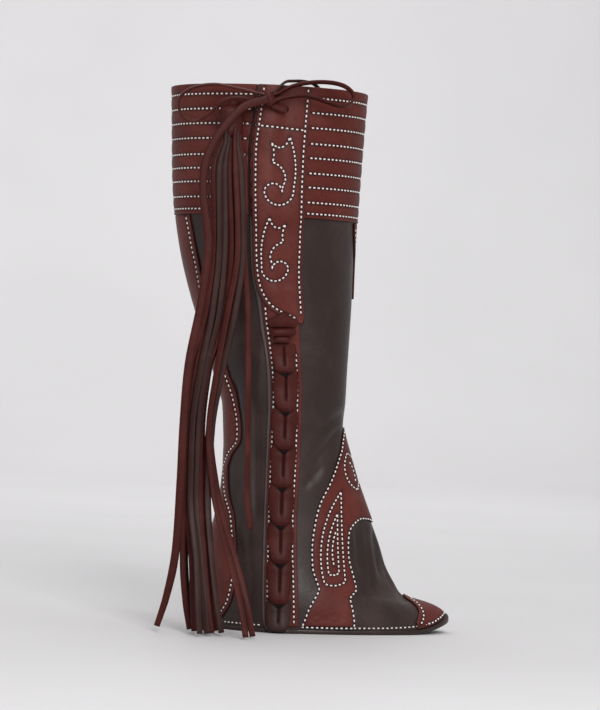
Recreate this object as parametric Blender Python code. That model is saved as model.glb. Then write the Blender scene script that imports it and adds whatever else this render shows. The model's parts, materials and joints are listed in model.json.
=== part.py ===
"""One calf gaiter in two leathers, standing filled out on its hem.

The gaiter is a tube of two leather panels, cut to a leg, an ankle and a pointed foot cover. The
front panel laps over the back one down the outer side, and a chain of thong loops closes them.
Stitched overlays, a deep cuff, a pull strap with a bow, and a fringe tassel lie on it.

Every outline is given as it is seen from the outer side: x runs from heel to toe and z up from
the floor, in millimetres. The outer side of the leg is -Y. A place on the leather is an angle
round the leg (0 at the toe, pi at the heel, negative on the outer side) and a height, counted
in rows of RINGS. Objects are in metres, +Z up.
"""

import math
from collections import namedtuple

import bmesh
import bpy
import numpy as np
from mathutils import Matrix, Vector

MM = 0.001
OUTER, INNER = -1, 1

# The leg's own axis, placed so that the whole part is centred over the origin.
LEG_X, LEG_Y = -18.6, 27.2

PANEL = 1.8
OVERLAY = 1.2
CUFF = 1.6
SEAM_GAP = 0.3
LAY_GAP = 0.35
LAP = 12.0
LAP_RISE = PANEL + SEAM_GAP
LAP_RAMP = 12.0
LAP_COLUMNS = (0.0, 6.5, 13.0, 17.0, 21.0, 25.0)
BINDING_TOP = 0.52
OVERLAY_FOOT = 0.62
CUFF_ROW = 18.92

# Rows from the hem to the rim. curl lifts the toe's tip off the floor, and point, above 1,
# makes the front of the row narrower than an ellipse.
Ring = namedtuple("Ring", "front_x front_z back_x back_z widest_x half_width point curl")
RINGS = (
    Ring(132.0, 8.0, -50.5, 0.0, 9.0, 49.0, 1.15, 8.0),
    Ring(132.0, 12.0, -50.5, 8.0, 9.0, 49.0, 1.15, 6.5),
    Ring(125.0, 18.0, -50.5, 21.0, 9.0, 48.6, 1.30, 3.5),
    Ring(115.0, 22.0, -50.5, 33.0, 9.0, 47.6, 1.45, 1.5),
    Ring(104.5, 24.8, -50.6, 45.0, 9.0, 46.2, 1.55, 0.5),
    Ring(96.5, 28.6, -51.0, 57.0, 8.5, 44.8, 1.50, 0.0),
    Ring(90.0, 38.0, -50.8, 70.0, 8.0, 43.2, 1.40, 0.0),
    Ring(83.3, 50.0, -48.0, 84.0, 7.5, 41.8, 1.30, 0.0),
    Ring(78.2, 65.0, -45.2, 97.0, 6.5, 40.6, 1.20, 0.0),
    Ring(71.5, 82.0, -44.0, 110.0, 5.5, 39.6, 1.14, 0.0),
    Ring(65.0, 98.0, -43.2, 124.0, 4.5, 38.8, 1.10, 0.0),
    Ring(58.0, 116.0, -43.2, 138.0, 3.0, 38.2, 1.06, 0.0),
    Ring(51.8, 135.0, -44.0, 153.0, 1.5, 37.8, 1.02, 0.0),
    Ring(46.4, 156.0, -45.4, 170.0, 0.0, 37.8, 1.0, 0.0),
    Ring(47.6, 175.0, -51.0, 187.0, -2.0, 38.6, 1.0, 0.0),
    Ring(48.0, 197.0, -57.0, 206.0, -5.0, 40.8, 1.0, 0.0),
    Ring(48.8, 225.0, -66.0, 232.0, -9.0, 44.4, 1.0, 0.0),
    Ring(49.4, 252.0, -74.0, 256.0, -13.0, 47.8, 1.0, 0.0),
    Ring(49.4, 281.0, -81.6, 284.0, -16.5, 50.8, 1.0, 0.0),
    Ring(49.8, 314.0, -87.1, 315.0, -19.0, 53.2, 1.0, 0.0),
    Ring(50.8, 345.0, -89.8, 345.0, -19.5, 54.4, 1.0, 0.0),
    Ring(52.2, 378.0, -91.3, 378.0, -19.5, 55.0, 1.0, 0.0),
    Ring(53.8, 410.0, -92.8, 410.0, -19.5, 55.0, 1.0, 0.0),
)
RIM_ROW = len(RINGS) - 1
CURL_START_X = 98.0

# The heights at which the panels have a row of points.
NET_ROWS = (0.0, 0.55, 1.0, 1.6, 2.2, 2.9, 3.6, 4.4, 5.2, 6.0, 6.8, 7.6, 8.5, 9.4, 10.4, 11.4, 12.4,
            13.3, 14.2, 15.1, 16.0, 16.45, 17.0, 18.0, CUFF_ROW, 20.0, 21.0, 22.0)

# The largest soft folds: a trough where depth is below 0 and a ridge above it.
Fold = namedtuple("Fold", "side from_x from_z to_x to_z width depth")
FOLDS = (
    Fold(OUTER, 61.0, 82.0, 64.0, 44.0, 4.5, -2.0),
    Fold(OUTER, 71.0, 74.0, 84.0, 38.0, 4.5, -1.5),
    Fold(OUTER, 20.0, 121.0, 40.0, 147.0, 8.0, -1.6),
    Fold(OUTER, -31.0, 178.0, -24.0, 84.0, 5.0, 1.4),
    Fold(INNER, 60.0, 78.0, 66.0, 42.0, 5.0, -1.8),
    Fold(INNER, 72.0, 70.0, 82.0, 40.0, 4.0, -1.3),
    Fold(INNER, 8.0, 124.0, 36.0, 143.0, 7.0, -1.7),
    Fold(INNER, -30.0, 162.0, -12.0, 150.0, 6.0, -1.4),
    Fold(INNER, -34.0, 196.0, -28.0, 96.0, 6.0, 1.2),
)
FOLD_FADE = 7.0

# Borders seen from the side, from the rim down.
Edge = namedtuple("Edge", "z x")
CLOSURE_EDGE = (
    Edge(410.0, -32.6), Edge(385.0, -34.7), Edge(361.0, -36.7), Edge(345.0, -36.4),
    Edge(312.0, -34.5), Edge(286.0, -32.9), Edge(275.0, -31.8), Edge(262.0, -29.8),
    Edge(254.0, -27.4), Edge(247.0, -25.7), Edge(237.0, -24.0), Edge(228.0, -22.4),
    Edge(218.5, -19.8), Edge(199.5, -16.7), Edge(182.5, -15.1), Edge(165.0, -14.0), Edge(144.0, -14.0),
    Edge(114.0, -14.0), Edge(76.0, -14.2), Edge(46.0, -14.0), Edge(24.0, -13.6),
    Edge(9.0, -12.6), Edge(3.5, -11.0), Edge(0.0, -8.5),
)
INNER_SEAM = (Edge(410.0, -20.0), Edge(250.0, -14.0), Edge(150.0, -4.0), Edge(0.0, -6.0))
HEEL_BORDER = (
    Edge(313.5, -78.3), Edge(289.0, -72.9), Edge(270.0, -68.2), Edge(255.0, -64.8),
    Edge(240.0, -60.5), Edge(225.0, -55.6), Edge(210.0, -50.2), Edge(196.0, -44.6),
    Edge(173.0, -37.1), Edge(154.0, -33.5), Edge(143.0, -32.6), Edge(131.0, -38.6),
    Edge(119.5, -40.8), Edge(104.5, -40.0), Edge(84.7, -35.4), Edge(45.0, -32.9),
    Edge(22.3, -35.7), Edge(5.0, -44.0),
)
FRONT_STAY_BORDER = (Edge(313.5, 46.6), Edge(300.0, 47.7), Edge(290.0, 48.7), Edge(282.0, 49.3))
FRONT_STAY_FOOT = 17.05

# Straps and overlays that lie on one side: lift is the height of their back over the leather.
Row = namedtuple("Row", "z left right lift")
PULL_STRAP = (
    Row(409.6, -30.2, 7.0, 2.4), Row(396.0, -31.3, 6.5, 2.4), Row(380.0, -32.9, 5.7, 2.4),
    Row(361.0, -34.4, 5.0, 2.4), Row(338.0, -33.9, 4.9, 2.4), Row(312.0, -32.6, 5.3, 2.4),
    Row(302.0, -32.0, 5.5, 1.0), Row(288.0, -31.2, 5.7, 0.8), Row(277.0, -30.3, 5.7, 0.8),
    Row(264.0, -28.2, 6.2, 1.2), Row(255.0, -25.0, 7.0, 2.0), Row(246.0, -19.2, 8.0, 2.0),
    Row(241.0, -12.8, 8.5, 2.0), Row(237.0, -4.5, 8.9, 2.0), Row(233.0, 4.8, 9.1, 2.0),
)
LACE_STRIP = (
    Row(252.0, -23.4, 4.0, LAY_GAP), Row(234.0, -20.6, 5.8, LAY_GAP), Row(205.0, -15.2, 8.4, LAY_GAP),
    Row(186.0, -12.7, 10.3, LAY_GAP), Row(160.0, -12.0, 11.0, LAY_GAP), Row(120.0, -12.2, 11.0, LAY_GAP),
    Row(92.0, -12.2, 10.3, LAY_GAP), Row(60.0, -12.2, 11.0, LAY_GAP), Row(30.0, -11.8, 12.7, LAY_GAP),
    Row(5.2, -10.6, 13.8, LAY_GAP),
)
LACE_TONGUE = (
    Row(241.6, -7.8, -5.8, 3.6), Row(238.0, -12.6, -0.8, 3.6), Row(234.5, -17.6, 4.0, 3.6),
    Row(229.6, -16.6, 2.8, 2.6),
)

# The instep overlay on one side, from the hem up: its two borders meet on the ridge of the foot.
Station = namedtuple("Station", "back_x back_z front_x front_z")
INSTEP = (
    Station(15.7, 5.2, 56.1, 5.2), Station(20.2, 17.6, 55.1, 17.1), Station(26.4, 29.6, 53.0, 26.0),
    Station(27.8, 33.4, 57.6, 32.6), Station(25.4, 40.3, 56.0, 40.5), Station(22.5, 49.5, 52.7, 50.9),
    Station(21.7, 64.1, 50.7, 64.4), Station(23.5, 82.1, 51.3, 76.4), Station(27.6, 98.8, 55.3, 82.4),
    Station(36.2, 116.9, 62.1, 86.0), Station(43.0, 135.8, 67.4, 85.2),
)
INSTEP_RIDGE = Station(46.4, 155.0, 71.0, 82.6)

# Borders round the toe: degrees from the toe, and the height they reach there.
CapEdge = namedtuple("CapEdge", "degrees row")
TOE_CAP = (
    CapEdge(-38.0, 1.35), CapEdge(-31.0, 2.1), CapEdge(-23.0, 3.3), CapEdge(-15.0, 4.3),
    CapEdge(-7.0, 4.75), CapEdge(0.0, 4.85), CapEdge(7.0, 4.75), CapEdge(15.0, 4.3),
    CapEdge(23.0, 3.3), CapEdge(31.0, 2.1), CapEdge(38.0, 1.35),
)
# The binding's upper border on either side of the toe. Beyond the last angle it is level.
BINDING_EDGE = (
    CapEdge(0.0, 1.36), CapEdge(11.0, 1.2), CapEdge(20.0, 0.94), CapEdge(27.0, 0.75),
    CapEdge(35.0, 0.65), CapEdge(53.0, 0.58), CapEdge(73.0, BINDING_TOP),
)

# The closure's chain: each loop hangs from a hole and ends over the head of the next.
Link = namedtuple("Link", "top_z bottom_z top_x bottom_x")
LINKS = (
    Link(217.5, 195.6, -5.4, -3.4), Link(199.5, 166.0, -2.8, -1.2), Link(169.8, 137.2, -1.6, -1.4),
    Link(140.8, 108.6, -1.4, -1.4), Link(112.3, 79.8, -1.8, -1.5), Link(83.3, 51.0, -1.8, -1.1),
    Link(54.7, 21.3, -1.5, -1.0), Link(25.0, 1.2, -1.3, -1.2),
)
LINK_THICK = 2.0
LINK_GROOVE = 1.0
LINK_UNDER = OVERLAY + LAY_GAP + 0.4
LINK_OVER = LINK_UNDER + LINK_THICK + 0.7
# Across a link: share of its half width, and how far the face stands under its crown.
LINK_SECTION = ((-1.0, 0.9), (-0.72, 0.1), (-0.36, 0.0), (-0.06, 1.0),
                (0.06, 1.0), (0.36, 0.0), (0.72, 0.1), (1.0, 0.9))
# Down a link: share of its length, and half width in millimetres.
LINK_OUTLINE = ((0.0, 8.2), (0.16, 9.2), (0.42, 9.2), (0.64, 8.2), (0.82, 7.2), (0.94, 6.2), (1.0, 4.6))

ROLL_RADIUS = 4.2
ROLL_ENDS = ((-14.4, 223.4), (1.2, 224.0))

# The bow. Each loop begins and ends inside the knot.
Point = namedtuple("Point", "x y z")
KNOT_SIZE = Point(11.0, 9.0, 14.5)
KNOT_CENTRE = Point(-24.8, -66.0, 398.4)
THONG_WIDTH, THONG_THICK = 6.0, 2.0
LEFT_LOOP = (
    Point(-27.6, -66.0, 401.2), Point(-34.0, -66.3, 402.6), Point(-46.0, -66.5, 404.8),
    Point(-64.0, -64.0, 407.6), Point(-79.5, -60.0, 405.4), Point(-89.5, -56.5, 399.2),
    Point(-91.4, -55.0, 390.8), Point(-87.6, -55.5, 382.6), Point(-78.8, -57.5, 380.2),
    Point(-68.2, -60.5, 386.4), Point(-59.0, -63.0, 395.6), Point(-48.5, -65.0, 398.4),
    Point(-35.0, -66.4, 397.0), Point(-27.6, -66.2, 396.2),
)
RIGHT_LOOP = (
    Point(-22.0, -66.0, 401.0), Point(-17.0, -66.0, 403.4), Point(-8.0, -65.5, 408.6),
    Point(6.0, -63.5, 412.2), Point(20.0, -60.5, 413.2), Point(31.0, -57.5, 411.6), Point(38.0, -55.0, 407.2),
    Point(39.4, -54.5, 402.0), Point(36.0, -56.0, 397.8), Point(29.0, -58.5, 396.2),
    Point(20.0, -61.0, 398.2), Point(4.0, -64.0, 402.0), Point(-8.0, -66.0, 400.8),
    Point(-17.0, -66.6, 398.4), Point(-22.0, -66.4, 396.4),
)
HOLE_END = (Point(-22.6, -65.0, 394.6), Point(-15.4, -63.6, 392.2), Point(-11.2, -62.3, 391.6))
# The strand that goes from the knot over the rim and down inside it.
RIM_STRAND = (
    Point(-22.0, -65.8, 402.0), Point(-16.6, -66.0, 408.4), Point(-12.6, -64.4, 411.8),
    Point(-8.0, -61.0, 412.9), Point(1.0, -54.0, 413.8), Point(8.5, -47.6, 413.0),
    Point(13.6, -42.2, 410.6), Point(16.4, -40.8, 407.0), Point(18.0, -40.4, 401.0),
)
# The hole in the pull strap that the bow's short end goes into.
STRAP_HOLE = Edge(391.8, -11.8)
STRAP_HOLE_RADIUS = 2.4
# The bow's strips: their points, steps along them, and the way their width points.
BOW_STRIPS = (
    (LEFT_LOOP, 30, (0.0, 1.0, 0.25)), (RIGHT_LOOP, 30, (0.0, 1.0, -0.25)),
    (HOLE_END, 4, (0.0, 0.3, 1.0)), (RIM_STRAND, 18, (0.0, 1.0, 0.0)),
)
TAIL = (
    Point(-25.4, -71.6, 397.8), Point(-40.4, -73.0, 393.0), Point(-48.9, -74.6, 386.6),
    Point(-57.0, -75.6, 376.6), Point(-63.4, -76.0, 367.6), Point(-69.2, -76.0, 355.0),
    Point(-71.8, -76.0, 342.0), Point(-71.6, -76.0, 324.0), Point(-67.6, -76.0, 300.0),
    Point(-66.4, -76.0, 284.0), Point(-70.2, -76.0, 244.0), Point(-77.4, -76.0, 200.0),
    Point(-79.6, -75.6, 156.0), Point(-80.2, -75.0, 110.0), Point(-81.8, -74.0, 60.0),
    Point(-87.0, -72.5, 28.0), Point(-93.4, -71.0, 4.6),
)

# The fringe. Paths are x down the strand at FRINGE_Z, and the last column is where it ends.
FRINGE_Z = (366.0, 344.0, 285.0, 240.0, 195.0, 151.0, 106.0, 54.0, 24.0)
Path = namedtuple("Path", "x366 x344 x285 x240 x195 x151 x106 x54 x24 end_x end_z")
PATHS = {
    "heel": Path(-58.3, -64.2, -62.2, -65.7, -76.0, -78.0, -77.3, -76.1, -73.1, -69.0, 3.0),
    "left": Path(-56.1, -60.1, -57.8, -60.9, -68.1, -72.7, -72.5, -66.7, -64.8, -63.0, 2.4),
    "middle": Path(-53.8, -56.0, -53.3, -55.7, -64.0, -67.9, -68.0, -63.4, -60.0, -57.5, 2.0),
    "thin": Path(-51.6, -51.9, -48.5, -50.5, -63.0, -66.4, -64.7, -60.4, -57.1, -53.8, 2.2),
    "right": Path(-49.4, -47.8, -44.0, -49.7, -56.2, -60.4, -55.4, -41.8, -34.2, -30.0, 1.6),
    "inside": Path(-47.1, -44.0, -40.6, -45.2, -53.6, -59.7, -61.0, -56.7, -52.6, -48.5, 2.6),
    "short": Path(-45.3, -41.0, -38.8, -34.4, -32.3, -31.0, -30.0, -27.0, -26.5, -26.5, 78.0),
}
# Layers count from the front; shift slides a strand along x from the head down to its end.
Strand = namedtuple("Strand", "path layer shift end_shift end_out")
STRANDS = (
    Strand("left", 0, 0.0, 0.0, 30.0), Strand("right", 0, 0.0, 0.0, 40.0),
    Strand("heel", 1, 0.0, 0.0, 4.0), Strand("middle", 1, 0.0, 0.0, 26.0),
    Strand("inside", 1, 1.0, 2.0, 22.0),
    Strand("thin", 2, 0.0, 0.0, 24.0), Strand("short", 2, 0.0, 0.0, 0.0),
    Strand("left", 2, -2.6, -3.0, 14.0),
    Strand("middle", 3, -3.0, 1.0, 16.0), Strand("right", 3, 0.6, 5.6, 38.0),
    Strand("left", 4, 1.6, 4.0, 10.0), Strand("inside", 4, 0.0, -1.0, 12.0),
    Strand("heel", 5, 1.4, 2.6, 2.0), Strand("thin", 5, 1.6, 2.4, 8.0),
    Strand("middle", 6, 1.0, -2.0, 4.0), Strand("inside", 6, 2.4, 3.0, 4.0),
)
STRAND_WIDTH, STRAND_THICK, STRAND_ROOT = 4.4, 1.4, 2.4
STRAND_ROOT_END = 34.0
FRONT_LAYER_Y = -70.5
LAYER_PITCH = 2.3
HEAD_SIZE = Point(19.0, 17.5, 24.0)
HEAD_CENTRE = Point(-52.4, -62.4, 380.6)
# The thong that carries the head, up to the bow's left loop.
HEAD_NECK = (Point(-52.2, -63.0, 387.0), Point(-51.6, -63.8, 391.4), Point(-50.6, -64.6, 395.6))


def smooth(values, at):
    """Values of a table's column between its rows, without overshoot; at counts rows from 0."""
    values = np.asarray(values, float)
    steps = np.diff(values)
    product = steps[:-1] * steps[1:]
    total = np.where(product > 0, steps[:-1] + steps[1:], 1.0)
    slopes = np.concatenate(([steps[0]], np.where(product > 0, 2 * product / total, 0.0), [steps[-1]]))
    at = np.asarray(at, float)
    row = np.clip(np.floor(at).astype(int), 0, len(values) - 2)
    t = at - row
    rise = t * t * (3 - 2 * t)
    lean = slopes[row] * t * (1 - t) ** 2 - slopes[row + 1] * t * t * (1 - t)
    return values[row] * (1 - rise) + values[row + 1] * rise + lean


def ease(share):
    """A smooth step from 0 to 1."""
    share = np.clip(share, 0.0, 1.0)
    return share * share * (3 - 2 * share)


def ring_at(height):
    """The columns of RINGS at a height."""
    return Ring(*(smooth([getattr(ring, name) for ring in RINGS], height) for name in Ring._fields))


def level(ring, x):
    """z of a ring where it passes x: it leans from heel to front and curls up at the toe."""
    along = (x - ring.back_x) / (ring.front_x - ring.back_x)
    turn = np.clip((x - CURL_START_X) / np.maximum(ring.front_x - CURL_START_X, 1.0), 0.0, 1.2)
    return ring.back_z + (ring.front_z - ring.curl - ring.back_z) * along + ring.curl * turn**2


def smooth_point(angle, height):
    """A place on the leg with no folds, in millimetres."""
    angle, height = np.broadcast_arrays(np.asarray(angle, float), np.asarray(height, float))
    ring = ring_at(height)
    forward = np.cos(angle) >= 0
    reach = np.where(forward, ring.front_x - ring.widest_x, ring.widest_x - ring.back_x)
    x = ring.widest_x + reach * np.cos(angle)
    spread = np.abs(np.sin(angle)) ** np.where(forward, ring.point, 1.0)
    y = ring.half_width * np.sign(np.sin(angle)) * spread
    return np.stack([x, y, level(ring, x)], axis=-1)


def outward(angle, height):
    """The leg's normal at a place."""
    step = 1e-3
    across = smooth_point(angle + step, height) - smooth_point(angle - step, height)
    up = smooth_point(angle, height + step) - smooth_point(angle, height - step)
    normal = np.cross(across, up)
    return normal / np.linalg.norm(normal, axis=-1, keepdims=True)


def fold_depth(point):
    """How far the folds move a point of the leg outwards."""
    total = np.zeros(point.shape[:-1])
    for fold in FOLDS:
        start = np.array([fold.from_x, fold.from_z])
        run = np.array([fold.to_x, fold.to_z]) - start
        place = point[..., [0, 2]] - start
        along = (place @ run) / (run @ run)
        aside = (place @ np.array([-run[1], run[0]])) / np.linalg.norm(run)
        ends = ease((along + 0.25) / 0.35) * ease((1.25 - along) / 0.35)
        same_side = ease(point[..., 1] * fold.side / FOLD_FADE)
        total += fold.depth * np.exp(-((aside / fold.width) ** 2)) * ends * same_side
    return total


def on_leg(angle, height, out):
    """A place that stands out millimetres over the leather."""
    point = smooth_point(angle, height)
    away = fold_depth(point) + out
    return point + outward(angle, height) * away[..., None]


def border_x(border, z):
    """x of a border at z; its rows run downwards."""
    rows = np.interp(-np.asarray(z, float), [-edge.z for edge in border], np.arange(len(border)))
    return smooth([edge.x for edge in border], rows)


def border_angle(border, height, side, shift=0.0):
    """The angle at which the ring at this height meets a border, shift millimetres towards the toe."""
    ring = ring_at(height)
    x = ring.widest_x
    for _ in range(12):
        x = border_x(border, level(ring, x)) + shift
    reach = np.where(x >= ring.widest_x, ring.front_x - ring.widest_x, ring.widest_x - ring.back_x)
    return side * np.arccos(np.clip((x - ring.widest_x) / reach, -1.0, 1.0))


def locate(x, z, side):
    """The angle and height of places given by x and z, seen from one side."""
    heights = np.linspace(0, RIM_ROW, 1500)
    rings = ring_at(heights)
    x, z = np.broadcast_arrays(np.asarray(x, float), np.asarray(z, float))
    found = [np.interp(pz, level(rings, px), heights) for px, pz in zip(x.ravel(), z.ravel())]
    height = np.array(found).reshape(x.shape)
    ring = ring_at(height)
    reach = np.where(x >= ring.widest_x, ring.front_x - ring.widest_x, ring.widest_x - ring.back_x)
    return side * np.arccos(np.clip((x - ring.widest_x) / reach, -1.0, 1.0)), height


def lap_rise(point):
    """How far the front panel stands off to pass over the back panel, at places on the leg."""
    past = point[..., 0] - border_x(CLOSURE_EDGE, point[..., 2]) - LAP - 1.0
    outer = point[..., 1] < 0
    return np.where(outer, LAP_RISE * (1 - ease(past / LAP_RAMP)), 0.0)


class Panel:
    """A leather panel, as a net of triangles. What lies on it is cut from its net and moved out."""

    def __init__(self, height, angle, laps):
        self.height, self.angle = height, angle
        heights = np.broadcast_to(height[:, None], angle.shape)
        bare = smooth_point(angle, heights)
        self.normal = outward(angle, heights)
        self.point = on_leg(angle, heights, lap_rise(bare) if laps else np.zeros(angle.shape))

    def place(self, angle, height):
        """The columns and rows of places on the leg."""
        row = np.interp(height, self.height, np.arange(len(self.height)))
        column = []
        for each, at in zip(angle, row):
            low = min(int(at), len(self.height) - 2)
            angles = self.angle[low] + (self.angle[low + 1] - self.angle[low]) * (at - low)
            column.append(np.interp(each, angles, np.arange(len(angles))))
        return np.stack((column, row), axis=-1)

    def seen(self, x, z, side=OUTER):
        """The columns and rows of places seen from one side."""
        angle, height = locate(x, z, side)
        if side == INNER:
            angle = np.where(angle < self.angle.min(axis=1)[0], angle + 2 * math.pi, angle)
        return self.place(angle, height)

    def at(self, places, out):
        """Points of the net at columns and rows, moved out."""
        out = np.broadcast_to(np.asarray(out, float), len(places))
        low = np.minimum(places.astype(int), np.array(self.angle.shape)[::-1] - 2)
        across, up = (places - low).T
        column, row = low.T
        near = np.where(across >= up, 1, 0)
        corners = ((row, column, 1 - np.maximum(across, up)),
                   (row + 1 - near, column + near, np.abs(across - up)),
                   (row + 1, column + 1, np.minimum(across, up)))
        total = np.zeros((len(places), 3))
        for r, c, share in corners:
            total += (self.point[r, c] + self.normal[r, c] * out[:, None]) * share[:, None]
        return total


def clipped(outlines, a, b, least):
    """The parts of outlines where a * column + b * row is at least this much."""
    kept = []
    for outline in outlines:
        past = [a * column + b * row - least for column, row in outline]
        if min(past) >= 0:
            kept.append(outline)
        if min(past) >= 0 or max(past) < 0:
            continue
        first = next(n for n in range(len(outline)) if past[n - 1] < 0 <= past[n])
        runs = []
        for n in (*range(first, len(outline)), *range(first)):
            if (past[n - 1] < 0) != (past[n] < 0):
                share = past[n - 1] / (past[n - 1] - past[n])
                place = tuple(old + (new - old) * share for old, new in zip(outline[n - 1], outline[n]))
                if past[n] >= 0:
                    runs.append([])
                runs[-1].append(place)
            if past[n] >= 0:
                runs[-1].append(outline[n])
        # Along the line, each run's end is followed by the start of the one that it joins.
        ends, starts = (sorted(range(len(runs)), key=lambda n: b * runs[n][which][0] - a * runs[n][which][1])
                        for which in (-1, 0))
        after = dict(zip(ends, starts))
        while after:
            number, loop = next(iter(after)), []
            while number in after:
                loop += runs[number]
                number = after.pop(number)
            kept.append(loop)
    return kept


def settled(place):
    """A place moved to a corner of the net if it almost touches one, so that no sliver is left."""
    near = (round(place[0]), round(place[1]))
    if max(abs(place[0] - near[0]), abs(place[1] - near[1])) < 0.04:
        return (float(near[0]), float(near[1]))
    return (round(place[0], 6), round(place[1], 6))


def cut(outline):
    """Cuts an outline, in columns and rows, along the triangles of the net: its places and faces."""
    outline = [tuple(float(value) for value in place) for place in outline]
    turns = zip(outline, outline[1:] + outline[:1])
    if sum(a[0] * b[1] - a[1] * b[0] for a, b in turns) < 0:
        outline = outline[::-1]
    columns, rows = zip(*outline)
    numbers, faces = {}, []
    for column in range(math.floor(min(columns)), math.ceil(max(columns))):
        strip = clipped(clipped([outline], 1, 0, column), -1, 0, -column - 1)
        for row in range(math.floor(min(rows)), math.ceil(max(rows))):
            cell = clipped(clipped(strip, 0, 1, row), 0, -1, -row - 1)
            for turn in (1, -1):
                for loop in clipped(cell, turn, -turn, turn * (column - row)):
                    loop = [settled(place) for place in loop]
                    loop = [place for place, after in zip(loop, loop[1:] + loop[:1]) if place != after]
                    if len(loop) > 2:
                        faces.append([numbers.setdefault(place, len(numbers)) for place in loop])
    return np.array(list(numbers)), faces


def leather(name, colour, roughness):
    """A plain leather material."""
    material = bpy.data.materials.new(name)
    material.use_nodes = True
    shader = material.node_tree.nodes["Principled BSDF"]
    shader.inputs["Base Color"].default_value = (*colour, 1.0)
    shader.inputs["Roughness"].default_value = roughness
    shader.inputs["Metallic"].default_value = 0.0
    material.diffuse_color = (*colour, 1.0)
    return material


TO_WORLD = Matrix.Scale(MM, 4) @ Matrix.Translation((LEG_X, LEG_Y, 0.0))


def add_object(name, mesh, material, parts):
    """Puts a mesh made in the leg's millimetres into the scene."""
    mesh.transform(TO_WORLD)
    mesh.materials.append(material)
    mesh.shade_smooth()
    mesh.set_sharp_from_angle(angle=math.radians(40))
    obj = bpy.data.objects.new(name, mesh)
    parts.objects.link(obj)
    return obj


def finished(net, name):
    """The mesh of a net of faces."""
    mesh = bpy.data.meshes.new(name)
    net.to_mesh(mesh)
    net.free()
    return mesh


def between(name, back, face, faces):
    """A closed mesh between two sheets with the same faces."""
    net = bmesh.new()
    backs, fronts = ([net.verts.new(point) for point in sheet] for sheet in (back, face))
    edges = set()
    for corners in faces:
        net.faces.new([fronts[corner] for corner in corners])
        net.faces.new([backs[corner] for corner in reversed(corners)])
        edges.update(zip(corners, corners[1:] + corners[:1]))
    for first, second in sorted(edges):
        if (second, first) not in edges:
            net.faces.new((fronts[second], fronts[first], backs[first], backs[second]))
    return finished(net, name)


def piece(name, panel, outline, back, thickness, material, parts):
    """A piece of leather cut from a panel's net. back is its height over the panel: a number, or
    a function of the columns and rows."""
    places, faces = cut(outline)
    under = back(places) if callable(back) else back
    mesh = between(name, panel.at(places, under), panel.at(places, under + thickness), faces)
    return add_object(name, mesh, material, parts)


def front_angles(height):
    """Columns of the front panel, from the closure's edge round the toe to the inner seam."""
    lap = [border_angle(CLOSURE_EDGE, height, OUTER, shift) for shift in LAP_COLUMNS]
    seam = border_angle(INNER_SEAM, height, INNER, SEAM_GAP / 2)
    outer = [lap[-1] * (1 - share) for share in np.linspace(0, 1, 13)[1:]]
    inner = [seam * share for share in np.linspace(0, 1, 12)[1:]]
    return np.stack(lap + outer + inner, axis=-1)


def back_angles(height):
    """Columns of the back panel, from the inner seam round the heel to under the front panel."""
    seam = border_angle(INNER_SEAM, height, INNER, -SEAM_GAP / 2)
    heel = np.full(height.shape, math.pi)
    edge = border_angle(CLOSURE_EDGE, height, OUTER, LAP) + 2 * math.pi
    inner = [seam + (heel - seam) * share for share in np.linspace(0, 1, 10)]
    outer = [heel + (edge - heel) * share for share in np.linspace(0, 1, 11)[1:]]
    return np.stack(inner + outer, axis=-1)


def band(panel, low, high, trim):
    """The outline of a band right across a panel, between two rows. The front panel's is trimmed
    at its first column, and the back panel's ends where the front one begins."""
    rows = [row for row in range(len(NET_ROWS)) if low <= NET_ROWS[row] <= high]
    heights = np.array(NET_ROWS)[rows]
    edge = border_angle(CLOSURE_EDGE, heights, OUTER, trim)
    last = panel.angle.shape[1] - 1
    if panel.angle.max() > math.pi:
        start = [(0.0, float(row)) for row in rows]
        end = [tuple(place) for place in panel.place(edge + 2 * math.pi, heights)]
    else:
        start = [tuple(place) for place in panel.place(edge, heights)]
        end = [(float(last), float(row)) for row in rows]
    return start + end[::-1]


def panels(dark, parts):
    """The two body panels."""
    height = np.array(NET_ROWS)
    front = Panel(height, front_angles(height), laps=True)
    back = Panel(height, back_angles(height), laps=False)
    for name, panel in (("front_panel", front), ("back_panel", back)):
        rows, columns = panel.angle.shape
        corners = ((0, 0), (columns - 1, 0), (columns - 1, rows - 1), (0, rows - 1))
        piece(name, panel, corners, -PANEL, PANEL, dark, parts)
    return front, back


def cuffs(front, back, red, parts):
    """The deep stitched cuff, in a front and a back length."""
    piece("front_cuff", front, band(front, CUFF_ROW, RIM_ROW, 0.8), LAY_GAP, CUFF, red, parts)
    piece("back_cuff", back, band(back, CUFF_ROW, RIM_ROW, -0.8), LAY_GAP, CUFF, red, parts)


def binding_top(angle):
    """The height of the binding's upper border on the front panel."""
    degrees, rows = zip(*BINDING_EDGE)
    return np.interp(np.abs(np.degrees(angle)), degrees, rows)


def bindings(front, back, dark, parts):
    """The narrow band that is folded round the hem, and is deeper round the toe."""
    level_from = math.radians(BINDING_EDGE[-1].degrees)
    angle = np.linspace(level_from, -level_from, 31)
    last = float(front.angle.shape[1] - 1)
    level_row = BINDING_TOP / NET_ROWS[1]
    top = ((last, level_row), *front.place(angle, binding_top(angle)), (0.0, level_row))
    piece("front_binding", front, ((0.0, 0.0), (last, 0.0), *top), LAY_GAP, OVERLAY, dark, parts)
    edge = border_angle(CLOSURE_EDGE, np.array([0.0, BINDING_TOP]), OUTER, -0.8) + 2 * math.pi
    end = back.place(edge, np.array([0.0, BINDING_TOP]))
    piece("back_binding", back, ((0.0, 0.0), *end, (0.0, level_row)), LAY_GAP, OVERLAY, dark, parts)


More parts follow.
